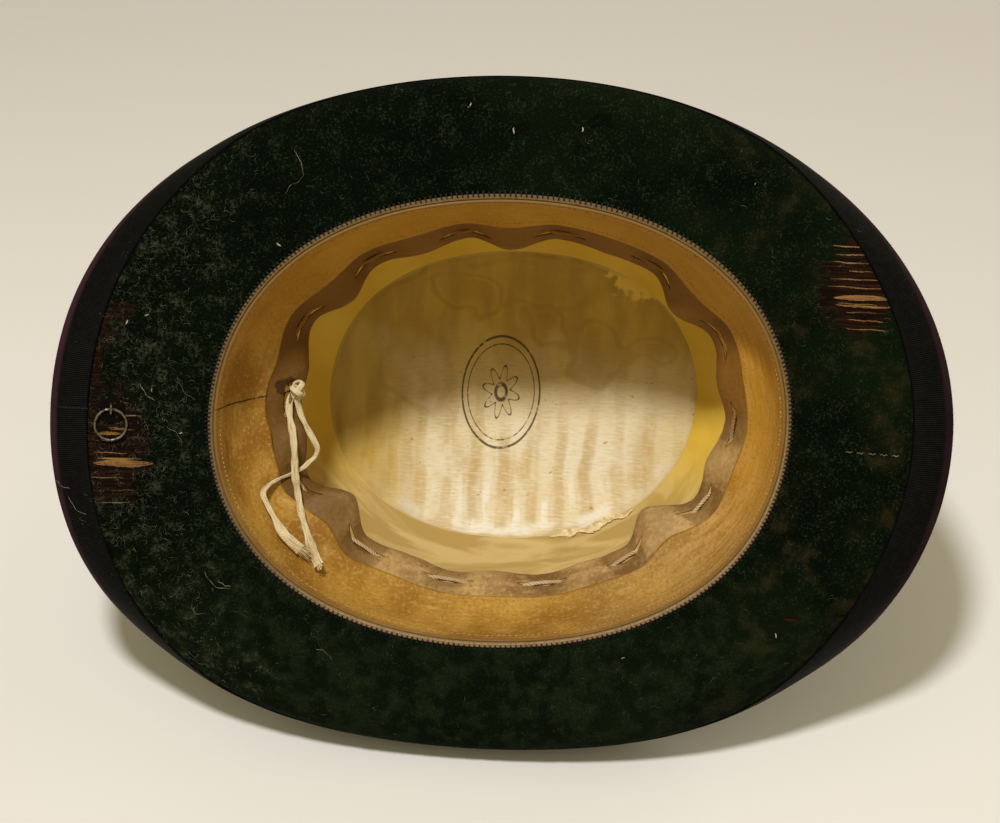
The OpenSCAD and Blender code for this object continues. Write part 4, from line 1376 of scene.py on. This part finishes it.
# ---- Drawstring ----
# A soft cotton cord behind the strip, seen in each slit. Both of its ends come out of the
# slit at the back, are knotted together and hang loose as flat braided tails.
string_radius = 0.00095
string_lay = 0.016
ply_along = 0.0013
ply_over = 0.0016
plait_along = 0.0010
plait_over = 0.0009
knot_middle = (-0.0751, -0.0046, 0.0482)
tail_thickness = 0.0010
tail_steps = 150
knot_steps = 160
long_tail = [
    (-0.0764, -0.0034, 0.0484),
    (-0.0780, 0.0000, 0.0485), (-0.0775, 0.0050, 0.0475), (-0.0760, 0.0115, 0.0465),
    (-0.0750, 0.0185, 0.0455), (-0.0745, 0.0255, 0.0450), (-0.0730, 0.0330, 0.0440),
    (-0.0710, 0.0400, 0.0415), (-0.0680, 0.0465, 0.0380), (-0.0655, 0.0515, 0.0350),
    (-0.0625, 0.0560, 0.0310),
]
short_tail = [
    (-0.0753, -0.0034, 0.0487),
    (-0.0750, 0.0000, 0.0490), (-0.0735, 0.0050, 0.0495), (-0.0710, 0.0100, 0.0500),
    (-0.0690, 0.0135, 0.0505), (-0.0675, 0.0170, 0.0510), (-0.0685, 0.0200, 0.0510),
    (-0.0705, 0.0220, 0.0500), (-0.0725, 0.0240, 0.0490), (-0.0760, 0.0260, 0.0475),
    (-0.0800, 0.0275, 0.0430), (-0.0830, 0.0295, 0.0375), (-0.0840, 0.0320, 0.0345),
    (-0.0810, 0.0375, 0.0335), (-0.0760, 0.0450, 0.0320), (-0.0730, 0.0480, 0.0320),
    (-0.0695, 0.0510, 0.0325),
]
cotton_cream = (0.80, 0.685, 0.43, 1)
cotton_soil_and_shade = (0.42, 0.30, 0.13, 1)
string_pink = (0.60, 0.43, 0.25, 1)
string_shaded = (0.27, 0.125, 0.028, 1)
string_groove_shade = (0.26, 0.15, 0.06, 1)
string_lip_shadow = (0.030, 0.014, 0.005, 1)

cotton_cord, tree, shader = finish_material("soft_cotton_cord", Roughness=0.9, Specular_IOR_Level=0.15)
where = here(tree)
run = add(tree, "UVMap", uv_map="run").outputs[0]
soiled = patches(tree, 120.0, 0.42, 0.75)
colour = blended(tree, soiled, string_pink, cotton_cream)
strands = drawn_out(tree, run, (700.0, 5200.0, 1.0), 2.0)
colour = blended(tree, between(tree, strands, 0.40, 0.30, 0.0, 0.7), colour, cotton_soil_and_shade)
run = split(tree, run)
ply = times_plus(tree, run[1], 2 * math.pi / ply_over, times(tree, run[0], 2 * math.pi / ply_along))
ply = sum_of(tree, "SINE", ply)
# Painted shade in the grooves between the plies.
colour = blended(tree, between(tree, ply, -0.3, -0.95, 0.0, 0.75), colour, string_groove_shade)
place = split(tree, where)
# Painted shade: the cord darkens toward the wearer's right (-Y), on the shaded upper side.
cord_upper_shade = between(tree, place[1], 0.020, -0.006)
colour = blended(tree, cord_upper_shade, colour, string_shaded)
# Painted shadow: a dark band along the side of the cord that lies under the slit's lip.
turn = 2 * math.pi * string_radius
lip_shadow = times(
    tree, between(tree, run[1], 0.79 * turn, 0.83 * turn),
    between(tree, run[1], 0.86 * turn, 0.92 * turn, 1.0, 0.0),
)
colour = blended(tree, lip_shadow, colour, string_lip_shadow)
painted(tree, shader, colour)
bumped(tree, shader, times_plus(tree, ply, 0.5, strands), 0.7, 0.0003)

gap = math.radians(4)
angles = np.linspace(knot_at + gap, knot_at + 2 * math.pi - gap, 1500)[:, None]
shown = np.abs((slit_turn(angles) * slit_count / (2 * math.pi) + 0.5) % 1 - 0.5)
shown = np.clip(1 - (shown * 2 * math.pi / slit_count / slit_half) ** 2, 0, 1) ** 0.55
stands_out = 0.0015 + 0.0003 * np.clip(np.sin(angles) * 4 + 0.5, -1, 1)
string_inset = leather_inset + drawn_in(angles, slit_depth) - 0.0014 + stands_out * shown
toward_lip = (0.0006 - 0.0003 * np.clip(np.sin(angles) * 4, -1, 1)) * shown
centre_line = band_point(angles, string_inset, slit_depth - toward_lip)[:, 0]
ends = [Vector(knot_middle) + Vector((-0.002, side * 0.001, 0)) for side in (-1, 1)]
centre_line = np.concatenate([
    [Vector(ends[0]).lerp(Vector(centre_line[0]), k / 8) for k in range(8)],
    centre_line,
    [Vector(centre_line[-1]).lerp(Vector(ends[1]), (k + 1) / 8) for k in range(8)],
])
run_along = lengths(centre_line)
ahead = np.gradient(centre_line, axis=0)
ahead /= np.linalg.norm(ahead, axis=1)[:, None]
side = np.cross(ahead, [0, 0, 1.0])
side /= np.linalg.norm(side, axis=1)[:, None]
up = np.cross(side, ahead)
a = np.linspace(0, 2 * math.pi, 19)[None, :-1]
twist = (run_along / string_lay * 2 * math.pi)[:, None]
radius = string_radius * (1 - 0.14 * (0.5 - 0.5 * np.cos(3 * (a - twist))) ** 0.5)
string_grid = (
    centre_line[:, None] + side[:, None] * (radius * np.cos(a))[..., None]
    + up[:, None] * (radius * np.sin(a))[..., None]
)
string_piece = grid_piece(
    "cotton_drawstring", string_grid, run_along, np.linspace(0, 2 * math.pi * string_radius, 19),
    around=False, closed=True,
)
string_piece.data.materials.append(cotton_cord)
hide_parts("drawstring")
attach(string_piece, "hat")

braid, tree, shader = finish_material("flat_cotton_braid", Roughness=0.85, Specular_IOR_Level=0.2)
run = run_of(tree)
where = here(tree)
across = times(tree, run[1], 2 * math.pi / plait_over)
along = times(tree, run[0], 2 * math.pi / plait_along)
crinkled = stretched(tree, run, 190.0, 2300.0)
crinkles = clouds(tree, crinkled, 1.0, 3.0)
zigzag = times(tree, sum_of(tree, "SINE", times(tree, across, 0.5)), 1.9)
plait = sum_of(tree, "SINE", sum_of(tree, "ADD", along, zigzag))
plait = times_plus(tree, plait, 0.5, 0.5)
fuzz = clouds(tree, where, 1900.0, 3.0)
soiled = patches(tree, 110.0, 0.46, 0.80)
colour = blended(tree, soiled, cotton_cream, cotton_soil_and_shade)
# Painted shade in the hollows of the plait and along its crinkles; the same dark tone is also the soil
# above.
plait_shade = times(tree, between(tree, plait, 0.45, 0.05), between(tree, fuzz, 0.35, 0.65))
colour = blended(tree, times(tree, plait_shade, 0.35), colour, cotton_soil_and_shade)
colour = blended(tree, between(tree, crinkles, 0.48, 0.32, 0.0, 0.85), colour, cotton_soil_and_shade)
painted(tree, shader, colour)
height = times_plus(tree, fuzz, 0.8, times(tree, plait, 0.35))
bumped(tree, shader, times_plus(tree, crinkles, 2.2, height), 0.8, 0.0003)


def smooth_route(points, count):
    """A route of even steps on a smooth curve through the points."""
    points = np.array(points)
    full = []
    for i in range(len(points) - 1):
        a, b = points[max(i - 1, 0)], points[i]
        c, d = points[i + 1], points[min(i + 2, len(points) - 1)]
        for k in np.linspace(0, 1, 24, endpoint=False):
            full.append(
                b + k * (c - a) / 2 + k ** 2 * (2 * a - 5 * b + 4 * c - d) / 2
                + k ** 3 * (3 * b - a - 3 * c + d) / 2
            )
    full = np.array(full + [points[-1]])
    run = lengths(full)
    even = np.linspace(0, run[-1], count)
    return np.stack([np.interp(even, run, full[:, k]) for k in range(3)], axis=1)


def braid_piece(name, route, face, width, thickness, closed=False):
    """A flat braid along a route, its face turned to a direction that may change along it."""
    ahead = np.roll(route, -1, axis=0) - np.roll(route, 1, axis=0) if closed else np.gradient(route, axis=0)
    ahead /= np.linalg.norm(ahead, axis=1)[:, None]
    wide = np.cross(ahead, face)
    wide /= np.linalg.norm(wide, axis=1)[:, None]
    high = np.cross(wide, ahead)
    a = np.linspace(0, 2 * math.pi, 21)[None, :-1]
    ridged = 1 + 0.10 * np.cos(6 * a)
    u = np.sign(np.cos(a)) * np.abs(np.cos(a)) ** 0.75 * width[:, None] / 2
    v = np.sign(np.sin(a)) * np.abs(np.sin(a)) ** 0.75 * thickness[:, None] / 2 * ridged
    grid = route[:, None] + wide[:, None] * u[..., None] + high[:, None] * v[..., None]
    run = closed_lengths(route) if closed else lengths(route)
    return grid_piece(name, grid, run, closed_lengths(grid[0]), around=closed, closed=True)


toward_view = np.array([0.05, -0.25, -1.0])
tails = {}
for name, points, node in (
    ("long_tail", long_tail, "tail_long"), ("short_tail", short_tail, "tail_short")
):
    route = smooth_route(points, tail_steps)
    share = np.linspace(0, 1, tail_steps)
    turned = 0.7 * np.minimum(1, (1.02 - share) / 0.12)
    waver = np.stack([np.sin(share * 17), np.cos(share * 13), 0 * share], axis=1)
    face = toward_view + turned[:, None] * waver
    uneven = 1 + 0.12 * np.sin(share * 31) + 0.08 * np.sin(share * 67 + 1)
    if name == "long_tail":
        width = uneven * (0.0027 - 0.0006 * np.exp(-((share - 0.72) / 0.07) ** 2) + 0.0021 * share ** 7)
    else:
        narrow = 0.0011 * np.exp(-((share - 0.50) / 0.12) ** 2)
        width = uneven * (0.0022 - narrow + 0.0030 * np.clip((share - 0.80) / 0.2, 0, 1))
    flat = tail_thickness * (1 - 0.45 * np.clip((share - 0.80) / 0.2, 0, 1))
    tail = braid_piece(name, route, face, width, flat)
    tail.data.materials.append(braid)
    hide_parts(node)
    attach(tail, "hat")
    tails[name] = (tail, route)

a = np.linspace(0, 2 * math.pi, knot_steps, endpoint=False)
knot_size = 0.00112
knot_route = np.stack([
    -1.5 * np.sin(3 * a), np.sin(a) + 2 * np.sin(2 * a), np.cos(a) - 2 * np.cos(2 * a)
], axis=1) * knot_size + np.array(knot_middle)
knot_face = knot_route - np.array(knot_middle) + np.array([0.0, 0.0, 0.0001])
knot_piece = braid_piece(
    "drawstring_tie", knot_route, knot_face, np.full(knot_steps, 0.0021), np.full(knot_steps, 0.0011),
    closed=True,
)
knot_piece.data.materials.append(braid)
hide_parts("drawstring_knot")
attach(knot_piece, "hat")

random.seed(61)
frays = []
for name, count, long, spread in (("long_tail", 26, 0.0012, 0.0003), ("short_tail", 46, 0.0036, 0.0011)):
    tail, route = tails[name]
    tip, heading = Vector(route[-1]), Vector(route[-1] - route[-6]).normalized()
    for k in range(count):
        away = Vector((random.uniform(-1, 1), random.uniform(-1, 1), random.uniform(-0.5, 0.3)))
        start = tip - heading * 0.0012 + away * 0.0008
        end = start + heading * (0.0010 + long * random.uniform(0.6, 1.2)) + away * spread
        middle = start.lerp(end, 0.5) + away.cross(heading) * spread * 0.3
        frays.append(([start, start.lerp(middle, 0.5), middle, middle.lerp(end, 0.6), end], 0.00011))
fray_piece = fibre_mesh("frayed_ends", frays, sides=5)
fray_piece.data.materials.append(braid)
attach(fray_piece, "hat")


# ---- Satin linings ----
# A strip of yellow satin round the inside of the crown, and an oval of cream satin over its
# top. They are sewn together and caught under the sweatband, and hang close to the felt. The
# top is quilted by its stiffening, stained with old tide-lines and torn along its seam.
satin_thickness = 0.0004
lining_start = 0.015
tip_seam = 0.099
tip_bulge = 0.010
quilt_pitch = 0.0112
stamp_middle = (-0.0050, -0.0003, 0.0)
stamp_reach = (0.0155, 0.0225)
stamp_petals = 8.0
side_columns, side_rows = 560, 60
tip_columns, tip_rows = 480, 70
scrap_columns, scrap_rows = 160, 22
scrap_start, scrap_sweep = 47, 29
satin_yellow = (0.90, 0.64, 0.10, 1)
satin_ochre = (0.78, 0.52, 0.06, 1)
satin_cream = (0.87, 0.74, 0.46, 1)
satin_white = (0.92, 0.85, 0.64, 1)
satin_highlight = (0.98, 0.94, 0.80, 1)
satin_fold_shade = (0.50, 0.345, 0.110, 1)
satin_lower_lit = (0.67, 0.50, 0.205, 1)
satin_band_shadow = (0.055, 0.028, 0.010, 1)
satin_pleat_shade = (0.56, 0.365, 0.10, 1)
satin_streak = (0.60, 0.40, 0.12, 1)
satin_sheen = (0.98, 0.93, 0.77, 1)
satin_sheen_dark = (0.56, 0.38, 0.13, 1)
satin_shaded = (0.60, 0.39, 0.026, 1)
satin_deep_shade = (0.47, 0.285, 0.008, 1)
satin_torn = (0.93, 0.66, 0.12, 1)
satin_frayed = (0.90, 0.84, 0.70, 1)
satin_seam = (0.72, 0.52, 0.16, 1)
scrap_dark = (0.74, 0.56, 0.23, 1)
scrap_pale = (0.90, 0.78, 0.48, 1)
stain_brown = (0.42, 0.235, 0.065, 1)
stain_line = (0.38, 0.20, 0.012, 1)
ink_brown = (0.055, 0.030, 0.014, 1)

side_satin, tree, shader = finish_material("yellow_satin", Roughness=0.42, Specular_IOR_Level=0.2)
soiled = patches(tree, 30.0, 0.36, 0.68)
colour = blended(tree, soiled, satin_ochre, satin_yellow)
run = run_of(tree)
place = split(tree, here(tree))
# Painted light and shade: toward the wearer's left (+Y) the lining is painted paler and duller, for how the
# light falls on it there, with painted shade and light along its folds.
lit_lower_side = between(tree, place[1], 0.010, 0.045)
folds = stretched(tree, run, 22.0, 95.0)
folds = clouds(tree, folds, 1.0, 4.0, Distortion=1.2)
pale = blended(tree, between(tree, folds, 0.40, 0.62), satin_fold_shade, satin_lower_lit)
colour = blended(tree, between(tree, folds, 0.42, 0.30, 0.0, 0.5), colour, satin_ochre)
colour = blended(tree, lit_lower_side, colour, pale)
# Painted shadow: the lining is dark where it lies behind the sweatband and its strip, reaching further on
# the upper side, toward the back and beside the knot, so that the slits show dark.
behind = sum_of(tree, "SUBTRACT", run[1], between(tree, place[1], 0.0, -0.03, 0.0, 0.022))
behind = sum_of(tree, "SUBTRACT", behind, between(tree, place[0], -0.060, -0.068, 0.0, 0.008))
knot_shadow_band = between(tree, off_from(tree, place[1], 0.002), 0.009, 0.014, 0.007, 0.0)
behind = sum_of(tree, "SUBTRACT", behind, times(tree, knot_shadow_band, between(tree, place[0], -0.05, -0.06)))
colour = blended(tree, between(tree, behind, 0.022, 0.028, 1.0, 0.0), colour, satin_band_shadow)
painted(tree, shader, colour)
run = add(tree, "UVMap", uv_map="run").outputs[0]
bumped(tree, shader, drawn_out(tree, run, (3800.0, 500.0, 1.0), 1.0), 0.25, 0.0001)

t = round_angles(side_columns)
side_depths = row_of(lining_start, tip_seam, side_rows)
loose = np.zeros((side_columns, side_rows))
for i, j in np.ndindex(loose.shape):
    angle, deep = t[i, 0], side_depths[0, j]
    ring = Vector((math.cos(angle) * 4.5, math.sin(angle) * 4.5, deep * 14))
    loose[i, j] = 0.0007 + 0.0009 * noise.noise(ring) + 0.0004 * noise.noise(ring * 2.6)
loose = np.clip(loose, 0.0001, 0.003) * np.sin(math.pi * row_of(0.06, 0.94, side_rows)) ** 0.6
side_grid = crown_point(t, rise_at(side_depths), -satin_thickness - loose, opening_height(t))
side_piece = grid_piece("side_satin", side_grid, round_run(side_columns), lengths(side_grid[0]))
side_piece.data.materials.append(side_satin)
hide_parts("side_lining")
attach(side_piece, "hat")


def from_middle(tree, place, middle, reach):
    """A place measured from the middle of an oval by its reach, and its distance so measured."""
    off = add(tree, "VectorMath", {0: place, 1: middle}, operation="SUBTRACT").outputs[0]
    shrunk = (1 / reach[0], 1 / reach[1], 0.0)
    off = add(tree, "VectorMath", {0: off, 1: shrunk}, operation="MULTIPLY").outputs[0]
    return off, add(tree, "VectorMath", {0: off}, operation="LENGTH").outputs["Value"]


tip_satin, tree, shader = finish_material("stained_cream_satin", Roughness=0.42, Specular_IOR_Level=0.2)
where = here(tree)
place = split(tree, where)
clouded = patches(tree, 24.0, 0.34, 0.66)
colour = blended(tree, clouded, satin_cream, satin_white)
wobble = clouds(tree, where, 28.0, 2.0)
# Painted shade in the hollows of the quilting pleats, stronger on the lower, lit half.
pleats = times_plus(tree, wobble, 5.0, times(tree, place[0], 2 * math.pi / quilt_pitch))
ridges = sum_of(tree, "SINE", pleats)
pleats = between(tree, ridges, -0.15, 0.9)
patchy = clouds(tree, where, 60.0, 3.0)
pleats = times(tree, pleats, between(tree, patchy, 0.34, 0.54, 0.15, 1.0))
pleats = times(tree, pleats, between(tree, place[1], -0.005, 0.022, 0.35, 1.0))
colour = blended(tree, times(tree, pleats, 0.50), colour, satin_pleat_shade)
streaks = drawn_out(tree, where, (95.0, 26.0, 1.0), 4.0, start=(0.4, 0.0, 0.0))
broad = times(tree, between(tree, streaks, 0.47, 0.64), between(tree, place[1], -0.005, 0.030))
colour = blended(tree, times(tree, broad, 0.5), colour, satin_streak)
run = run_of(tree)
# Painted highlight: a bright band along the seam on the lower half, broken in patches.
seam_highlight = times(tree, between(tree, run[1], 0.0045, 0.0095, 1.0, 0.0), between(tree, place[1], 0.005, 0.030))
seam_highlight = times(tree, seam_highlight, between(tree, patchy, 0.40, 0.56, 0.0, 0.9))
colour = blended(tree, seam_highlight, colour, satin_highlight)
specks = clouds(tree, where, 330.0, 1.0)
colour = blended(tree, between(tree, specks, 0.745, 0.775, 0.0, 0.65), colour, stain_brown)
# Painted glints on the crests of the pleats, on the lower half.
crest_glints = times(tree, between(tree, ridges, -0.5, -0.98), between(tree, place[1], 0.018, 0.050))
crest_glints = times(tree, crest_glints, between(tree, patchy, 0.44, 0.60))
colour = blended(tree, crest_glints, colour, satin_highlight)
wander = add(tree, "TexNoise", {"Vector": where, "Scale": 45.0, "Detail": 1.5}).outputs["Color"]
wander = add(tree, "VectorMath", {0: wander, 1: (0.5, 0.5, 0.5)}, operation="SUBTRACT").outputs[0]
wander = add(tree, "VectorMath", {0: wander, "Scale": 0.034}, operation="SCALE").outputs[0]
drifted = add(tree, "VectorMath", {0: where, 1: wander}, operation="ADD").outputs[0]
stained = 0.0
for middle, reach, inside in (
    ((0.014, -0.027, 0.0), (0.011, 0.009), 0.30), ((0.034, -0.020, 0.0), (0.009, 0.008), 0.18),
    ((0.052, -0.020, 0.0), (0.010, 0.007), 0.15), ((-0.019, -0.036, 0.0), (0.012, 0.008), 0.28),
    ((-0.048, -0.050, 0.0), (0.014, 0.010), 0.22), ((-0.040, -0.006, 0.0), (0.013, 0.018), 0.10),
    ((0.005, -0.045, 0.0), (0.030, 0.012), 0.16),
):
    away = from_middle(tree, drifted, middle, reach)[1]
    off = off_from(tree, away, 1.0)
    line = between(tree, off, 0.0, 0.30, 0.15 + 1.4 * inside, 0.0)
    within = between(tree, away, 0.3, 1.05, inside * 1.7, 0.0)
    stained = sum_of(tree, "MAXIMUM", stained, sum_of(tree, "MAXIMUM", line, within))
# A painted sheen: light and dark streaks across the satin, for its weave and for the light it reflects.
sheen = drawn_out(tree, where, (260.0, 1300.0, 1.0), 3.0)
colour = blended(tree, between(tree, sheen, 0.50, 0.68, 0.0, 0.38), colour, satin_sheen)
colour = blended(tree, between(tree, sheen, 0.48, 0.34, 0.0, 0.22), colour, satin_sheen_dark)
# Painted shade: the upper half of the top, toward the wearer's right (-Y), its back end and, less, its
# front end are painted a streaked dark ochre.
tip_shade_share = between(tree, times_plus(tree, patchy, 0.03, place[1]), 0.036, -0.020)
tip_shade_share = sum_of(tree, "MAXIMUM", tip_shade_share, between(tree, place[0], -0.026, -0.058, 0.0, 0.9))
tip_shade_share = sum_of(tree, "MAXIMUM", tip_shade_share, between(tree, place[0], 0.036, 0.062, 0.0, 0.42))
shade_tone = blended(tree, between(tree, streaks, 0.38, 0.62), satin_shaded, satin_deep_shade)
colour = blended(tree, times(tree, tip_shade_share, 0.92), colour, shade_tone)
colour = blended(tree, times(tree, stained, 0.75), colour, stain_line)
torn = patch_at(tree, (0.049, -0.051, 0.0), (0.014, 0.011, 1.0), 1.8)
colour = blended(tree, torn, colour, satin_torn)
frayed = patch_at(tree, (0.034, 0.058, 0.0), (0.013, 0.006, 1.0), 2.4)
colour = blended(tree, frayed, colour, satin_frayed)
seam_worn = between(tree, times_plus(tree, patchy, -0.005, run[1]), -0.0018, -0.0012, 0.65, 0.0)
colour = blended(tree, seam_worn, colour, satin_seam)

# A plain printed oval: two thin rings round a rosette
mark, mark_away = from_middle(tree, where, stamp_middle, stamp_reach)
mark = split(tree, mark)
petals = times(tree, sum_of(tree, "ARCTAN2", mark[1], mark[0]), stamp_petals)
petals = times_plus(tree, sum_of(tree, "SINE", petals), 0.12, 0.36)
ink = 0.0
for ring, wide in ((1.0, 0.030), (0.86, 0.016), (petals, 0.028), (0.14, 0.05)):
    off = off_from(tree, mark_away, ring)
    ink = sum_of(tree, "MAXIMUM", ink, between(tree, off, wide * 0.5, wide, 1.0, 0.0))
worn_ink = clouds(tree, where, 520.0, 4.0)
ink = times(tree, ink, between(tree, worn_ink, 0.30, 0.46, 0.2, 0.88))
colour = blended(tree, ink, colour, ink_brown)
painted(tree, shader, colour)
bumped(tree, shader, drawn_out(tree, where, (420.0, 3400.0, 420.0), 1.0), 0.22, 0.0001)


def tip_rise(rises):
    """How high the tip stands over its seam, at rises of the crown."""
    spread = (np.cos(rises) / np.cos(seam_rise)) ** (2 / crown_squareness)
    return tip_bulge * (1 - spread ** 2)


t = round_angles(tip_columns)
seam_rise = rise_at(tip_seam)
tip_share = row_of(0, 1, tip_rows + 1)[:, :-1]
tip_rises = seam_rise + (math.pi / 2 - seam_rise) * tip_share
tip_grid = crown_point(t, tip_rises, -satin_thickness, opening_height(t))
tip_grid[:, :, 2] = tip_grid[:, :1, 2] + tip_rise(tip_rises)
for i, j in np.ndindex(tip_columns, tip_rows):
    x, y = tip_grid[i, j, :2]
    wobble = 0.8 * noise.noise(Vector((x * 60, y * 20, 2)))
    quilt = 0.00035 * math.sin(x * 2 * math.pi / quilt_pitch + wobble)
    quilt *= 0.35 + 0.65 * min(1, max(0, (y + 0.01) / 0.03))
    soft = 0.0005 * noise.noise(Vector((x * 55, y * 40, 7)))
    near_edge = min(1, tip_share[0, j] * 14)
    tip_grid[i, j, 2] -= (0.0005 + quilt + soft) * near_edge
tip_top = np.repeat(tip_grid[:, -1:].mean(axis=0)[None], tip_columns, axis=0)
tip_grid = np.concatenate([tip_grid, tip_top], axis=1)
tip_piece = grid_piece("tip_satin", tip_grid, round_run(tip_columns), lengths(tip_grid[0]))
tip_piece.data.materials.append(tip_satin)
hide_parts("tip_lining")
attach(tip_piece, "hat")

# Torn satin that hangs in crumpled scraps along the seam
torn_satin = toned_finish(
    "torn_satin", (420.0, 3.0), (0.36, 0.62), (scrap_dark, scrap_pale),
    (0.5, 0.0004), Roughness=0.4, Specular_IOR_Level=0.3,
)
t = np.radians(scrap_start + scrap_sweep * row_of(0, 1, scrap_columns).T)
ends = np.zeros((scrap_columns, 2))
for i in range(scrap_columns):
    for side, reach in ((0, -0.036), (1, 0.052)):
        ragged = 0.60 + 0.8 * noise.noise(Vector((i * 0.045, side * 9.0, 1.5)))
        ragged += 0.25 * noise.noise(Vector((i * 0.3, side * 9.0, 4.0)))
        middling = math.sin(math.pi * i / (scrap_columns - 1)) ** 0.7
        ends[i, side] = reach * min(1, max(0.04, ragged)) * middling
scrap_rises = seam_rise + ends[:, :1] + (ends[:, 1:] - ends[:, :1]) * row_of(0, 1, scrap_rows)
scrap_grid = crown_point(t, scrap_rises, -satin_thickness, opening_height(t))
scrap_high = scrap_grid[:, :, 2]
seam_high = crown_point(t, np.array([[seam_rise]]), -satin_thickness, opening_height(t))[:, :, 2]
tip_high = seam_high + tip_rise(scrap_rises)
scrap_grid[:, :, 2] = np.where(scrap_rises > seam_rise, np.minimum(scrap_high, tip_high), scrap_high)
noise.seed_set(71)
for i, j in np.ndindex(scrap_columns, scrap_rows):
    x, y = scrap_grid[i, j, :2]
    spot = Vector((x * 240, y * 240, 5))
    scrap_grid[i, j] += np.array([0.0006, 0.0006, 0.0]) * np.array(noise.noise_vector(spot))
    scrap_grid[i, j, 2] -= 0.0012 + 0.0013 * abs(noise.noise(spot * 1.3)) + 0.0004 * noise.noise(spot * 3)
scrap_piece = grid_piece(
    "torn_satin", scrap_grid, lengths(scrap_grid[:, 10]), lengths(scrap_grid[80]), around=False
)
scrap_piece.data.materials.append(torn_satin)
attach(scrap_piece, "hat")


# ---- Guard ring ----
# A split wire ring hangs in a bent wire eye on a black enamelled washer, a place for the end
# of a hat guard cord. The steel has dulled and browned.
steel_dull = (0.24, 0.22, 0.19, 1)
steel_brown = (0.075, 0.052, 0.034, 1)
enamel_black = (0.0022, 0.0018, 0.0015, 1)
enamel_chip = (0.050, 0.028, 0.012, 1)

aged_wire = toned_finish(
    "dulled_steel_wire", (900.0, 5.0), (0.40, 0.62), (steel_dull, steel_brown), (0.3, 0.0001),
    rough=(0.3, 0.7, 0.28, 0.62), Metallic=1.0,
)
for node in ("guard_ring", "guard_eye"):
    bpy.data.objects[node].material_slots[0].material = aged_wire

enamel = toned_finish(
    "worn_black_enamel", (700.0, 6.0), (0.60, 0.66), (enamel_black, enamel_chip), (0.25, 0.0001),
    rough=(0.35, 0.7, 0.5, 0.8), Specular_IOR_Level=0.05,
)
bpy.data.objects["guard_washer"].material_slots[0].material = enamel


# ---- Table, backdrop and light ----
# The hat lies on its left side, on the edge of the brim and the side of the crown, on a pale
# table whose colour is painted darker away from the lamp. The lamp hangs over it, a wide window
# stands low beyond its front, and the room gives the rest of the light.
table_colour = (0.765, 0.755, 0.748, 1)
table_far_shade = (0.62, 0.605, 0.598, 1)
table_patch = (0.745, 0.732, 0.722, 1)
room_warm = (1.0, 0.87, 0.52, 1)
room_seen = (0.74, 0.70, 0.64, 1)
room_light = 0.42
lamp_reach = 1.25
lamp_size = 0.14
lamp_power = 12.2
lamp_colour = (1.0, 0.965, 0.93)
lamp_way = Vector((-0.123, -0.615, -0.778))
window_reach = 1.9
window_size = 1.3
window_power = 9.5
window_colour = (1.0, 0.92, 0.80)
window_way = Vector((0.80, -0.56, 0.20))
table_half = 4
hat_middle = Vector((0, 0, 0.06))

lying = np.concatenate([hood_grid.reshape(-1, 3), binding_grid.reshape(-1, 3)])
lying = lying[lying[:, 1] > 0.03]
crown_side = lying[lying[:, 2] > 0.055]
brim_side = lying[lying[:, 2] <= 0.055]
low, high = 0.0, math.radians(80)
for _ in range(40):
    tilt = (low + high) / 2
    down = np.array([0, math.cos(tilt), math.sin(tilt)])
    if (brim_side @ down).max() > (crown_side @ down).max():
        low = tilt
    else:
        high = tilt
table_level = (lying @ down).max()
down = Vector(down)

table_mesh = bpy.data.meshes.new("table")
across_table = Vector((1, 0, 0))
along_table = down.cross(across_table)
corners = [
    down * table_level + (across_table * a + along_table * b) * table_half
    for a, b in ((-1, -1), (1, -1), (1, 1), (-1, 1))
]
table_mesh.from_pydata(corners, [], [(0, 1, 2, 3)])
table_mesh.update()
if table_mesh.polygons[0].normal.dot(down) > 0:
    table_mesh.flip_normals()
table = brought_in("table", table_mesh)
table.visible_shadow = False

table_finish = bpy.data.materials.new("pale_table")
table_finish.use_nodes = True
tree = table_finish.node_tree
tree.nodes.clear()
grain = patches(tree, 2.2, 0.3, 0.7)
colour = blended(tree, grain, table_colour, table_patch)
place = split(tree, here(tree))
away = times_plus(tree, place[1], down.z, times(tree, place[2], -down.y))
# Painted falloff: the table's colour darkens away from the lamp.
colour = blended(tree, between(tree, away, 0.04, -0.52), colour, table_far_shade)
front = add(tree, "BsdfDiffuse", {"Color": colour}).outputs[0]
clear = add(tree, "BsdfTransparent").outputs[0]
behind = add(tree, "NewGeometry").outputs["Backfacing"]
both = add(tree, "MixShader", {0: behind, 1: front, 2: clear}).outputs[0]
tree.links.new(both, add(tree, "OutputMaterial").inputs[0])
table.data.materials.append(table_finish)

for name, way, reach, size, power, colour in (
    ("lamp", lamp_way, lamp_reach, lamp_size, lamp_power, lamp_colour),
    ("window", window_way, window_reach, window_size, window_power, window_colour),
):
    light = brought_in(name, bpy.data.lights.new(name, "AREA"))
    light.data.shape = "DISK"
    light.data.size = size
    light.data.energy = power
    light.data.color = colour
    light.visible_camera = False
    light.matrix_world = Matrix.LocRotScale(
        hat_middle + way.normalized() * reach, way.to_track_quat("Z", "Y"), None
    )

world = bpy.data.worlds.new("room")
bpy.context.scene.world = world
world.use_nodes = True
tree = world.node_tree
shade = tree.nodes["Background"]
seen = add(tree, "LightPath").outputs["Is Camera Ray"]
tree.links.new(
    blended(tree, seen, room_warm, room_seen), shade.inputs["Color"]
)
tree.links.new(
    add(tree, "MapRange", {"Value": seen, "To Min": room_light, "To Max": 1.0}).outputs[0],
    shade.inputs["Strength"],
)
bpy.context.scene.view_settings.view_transform = "Standard"
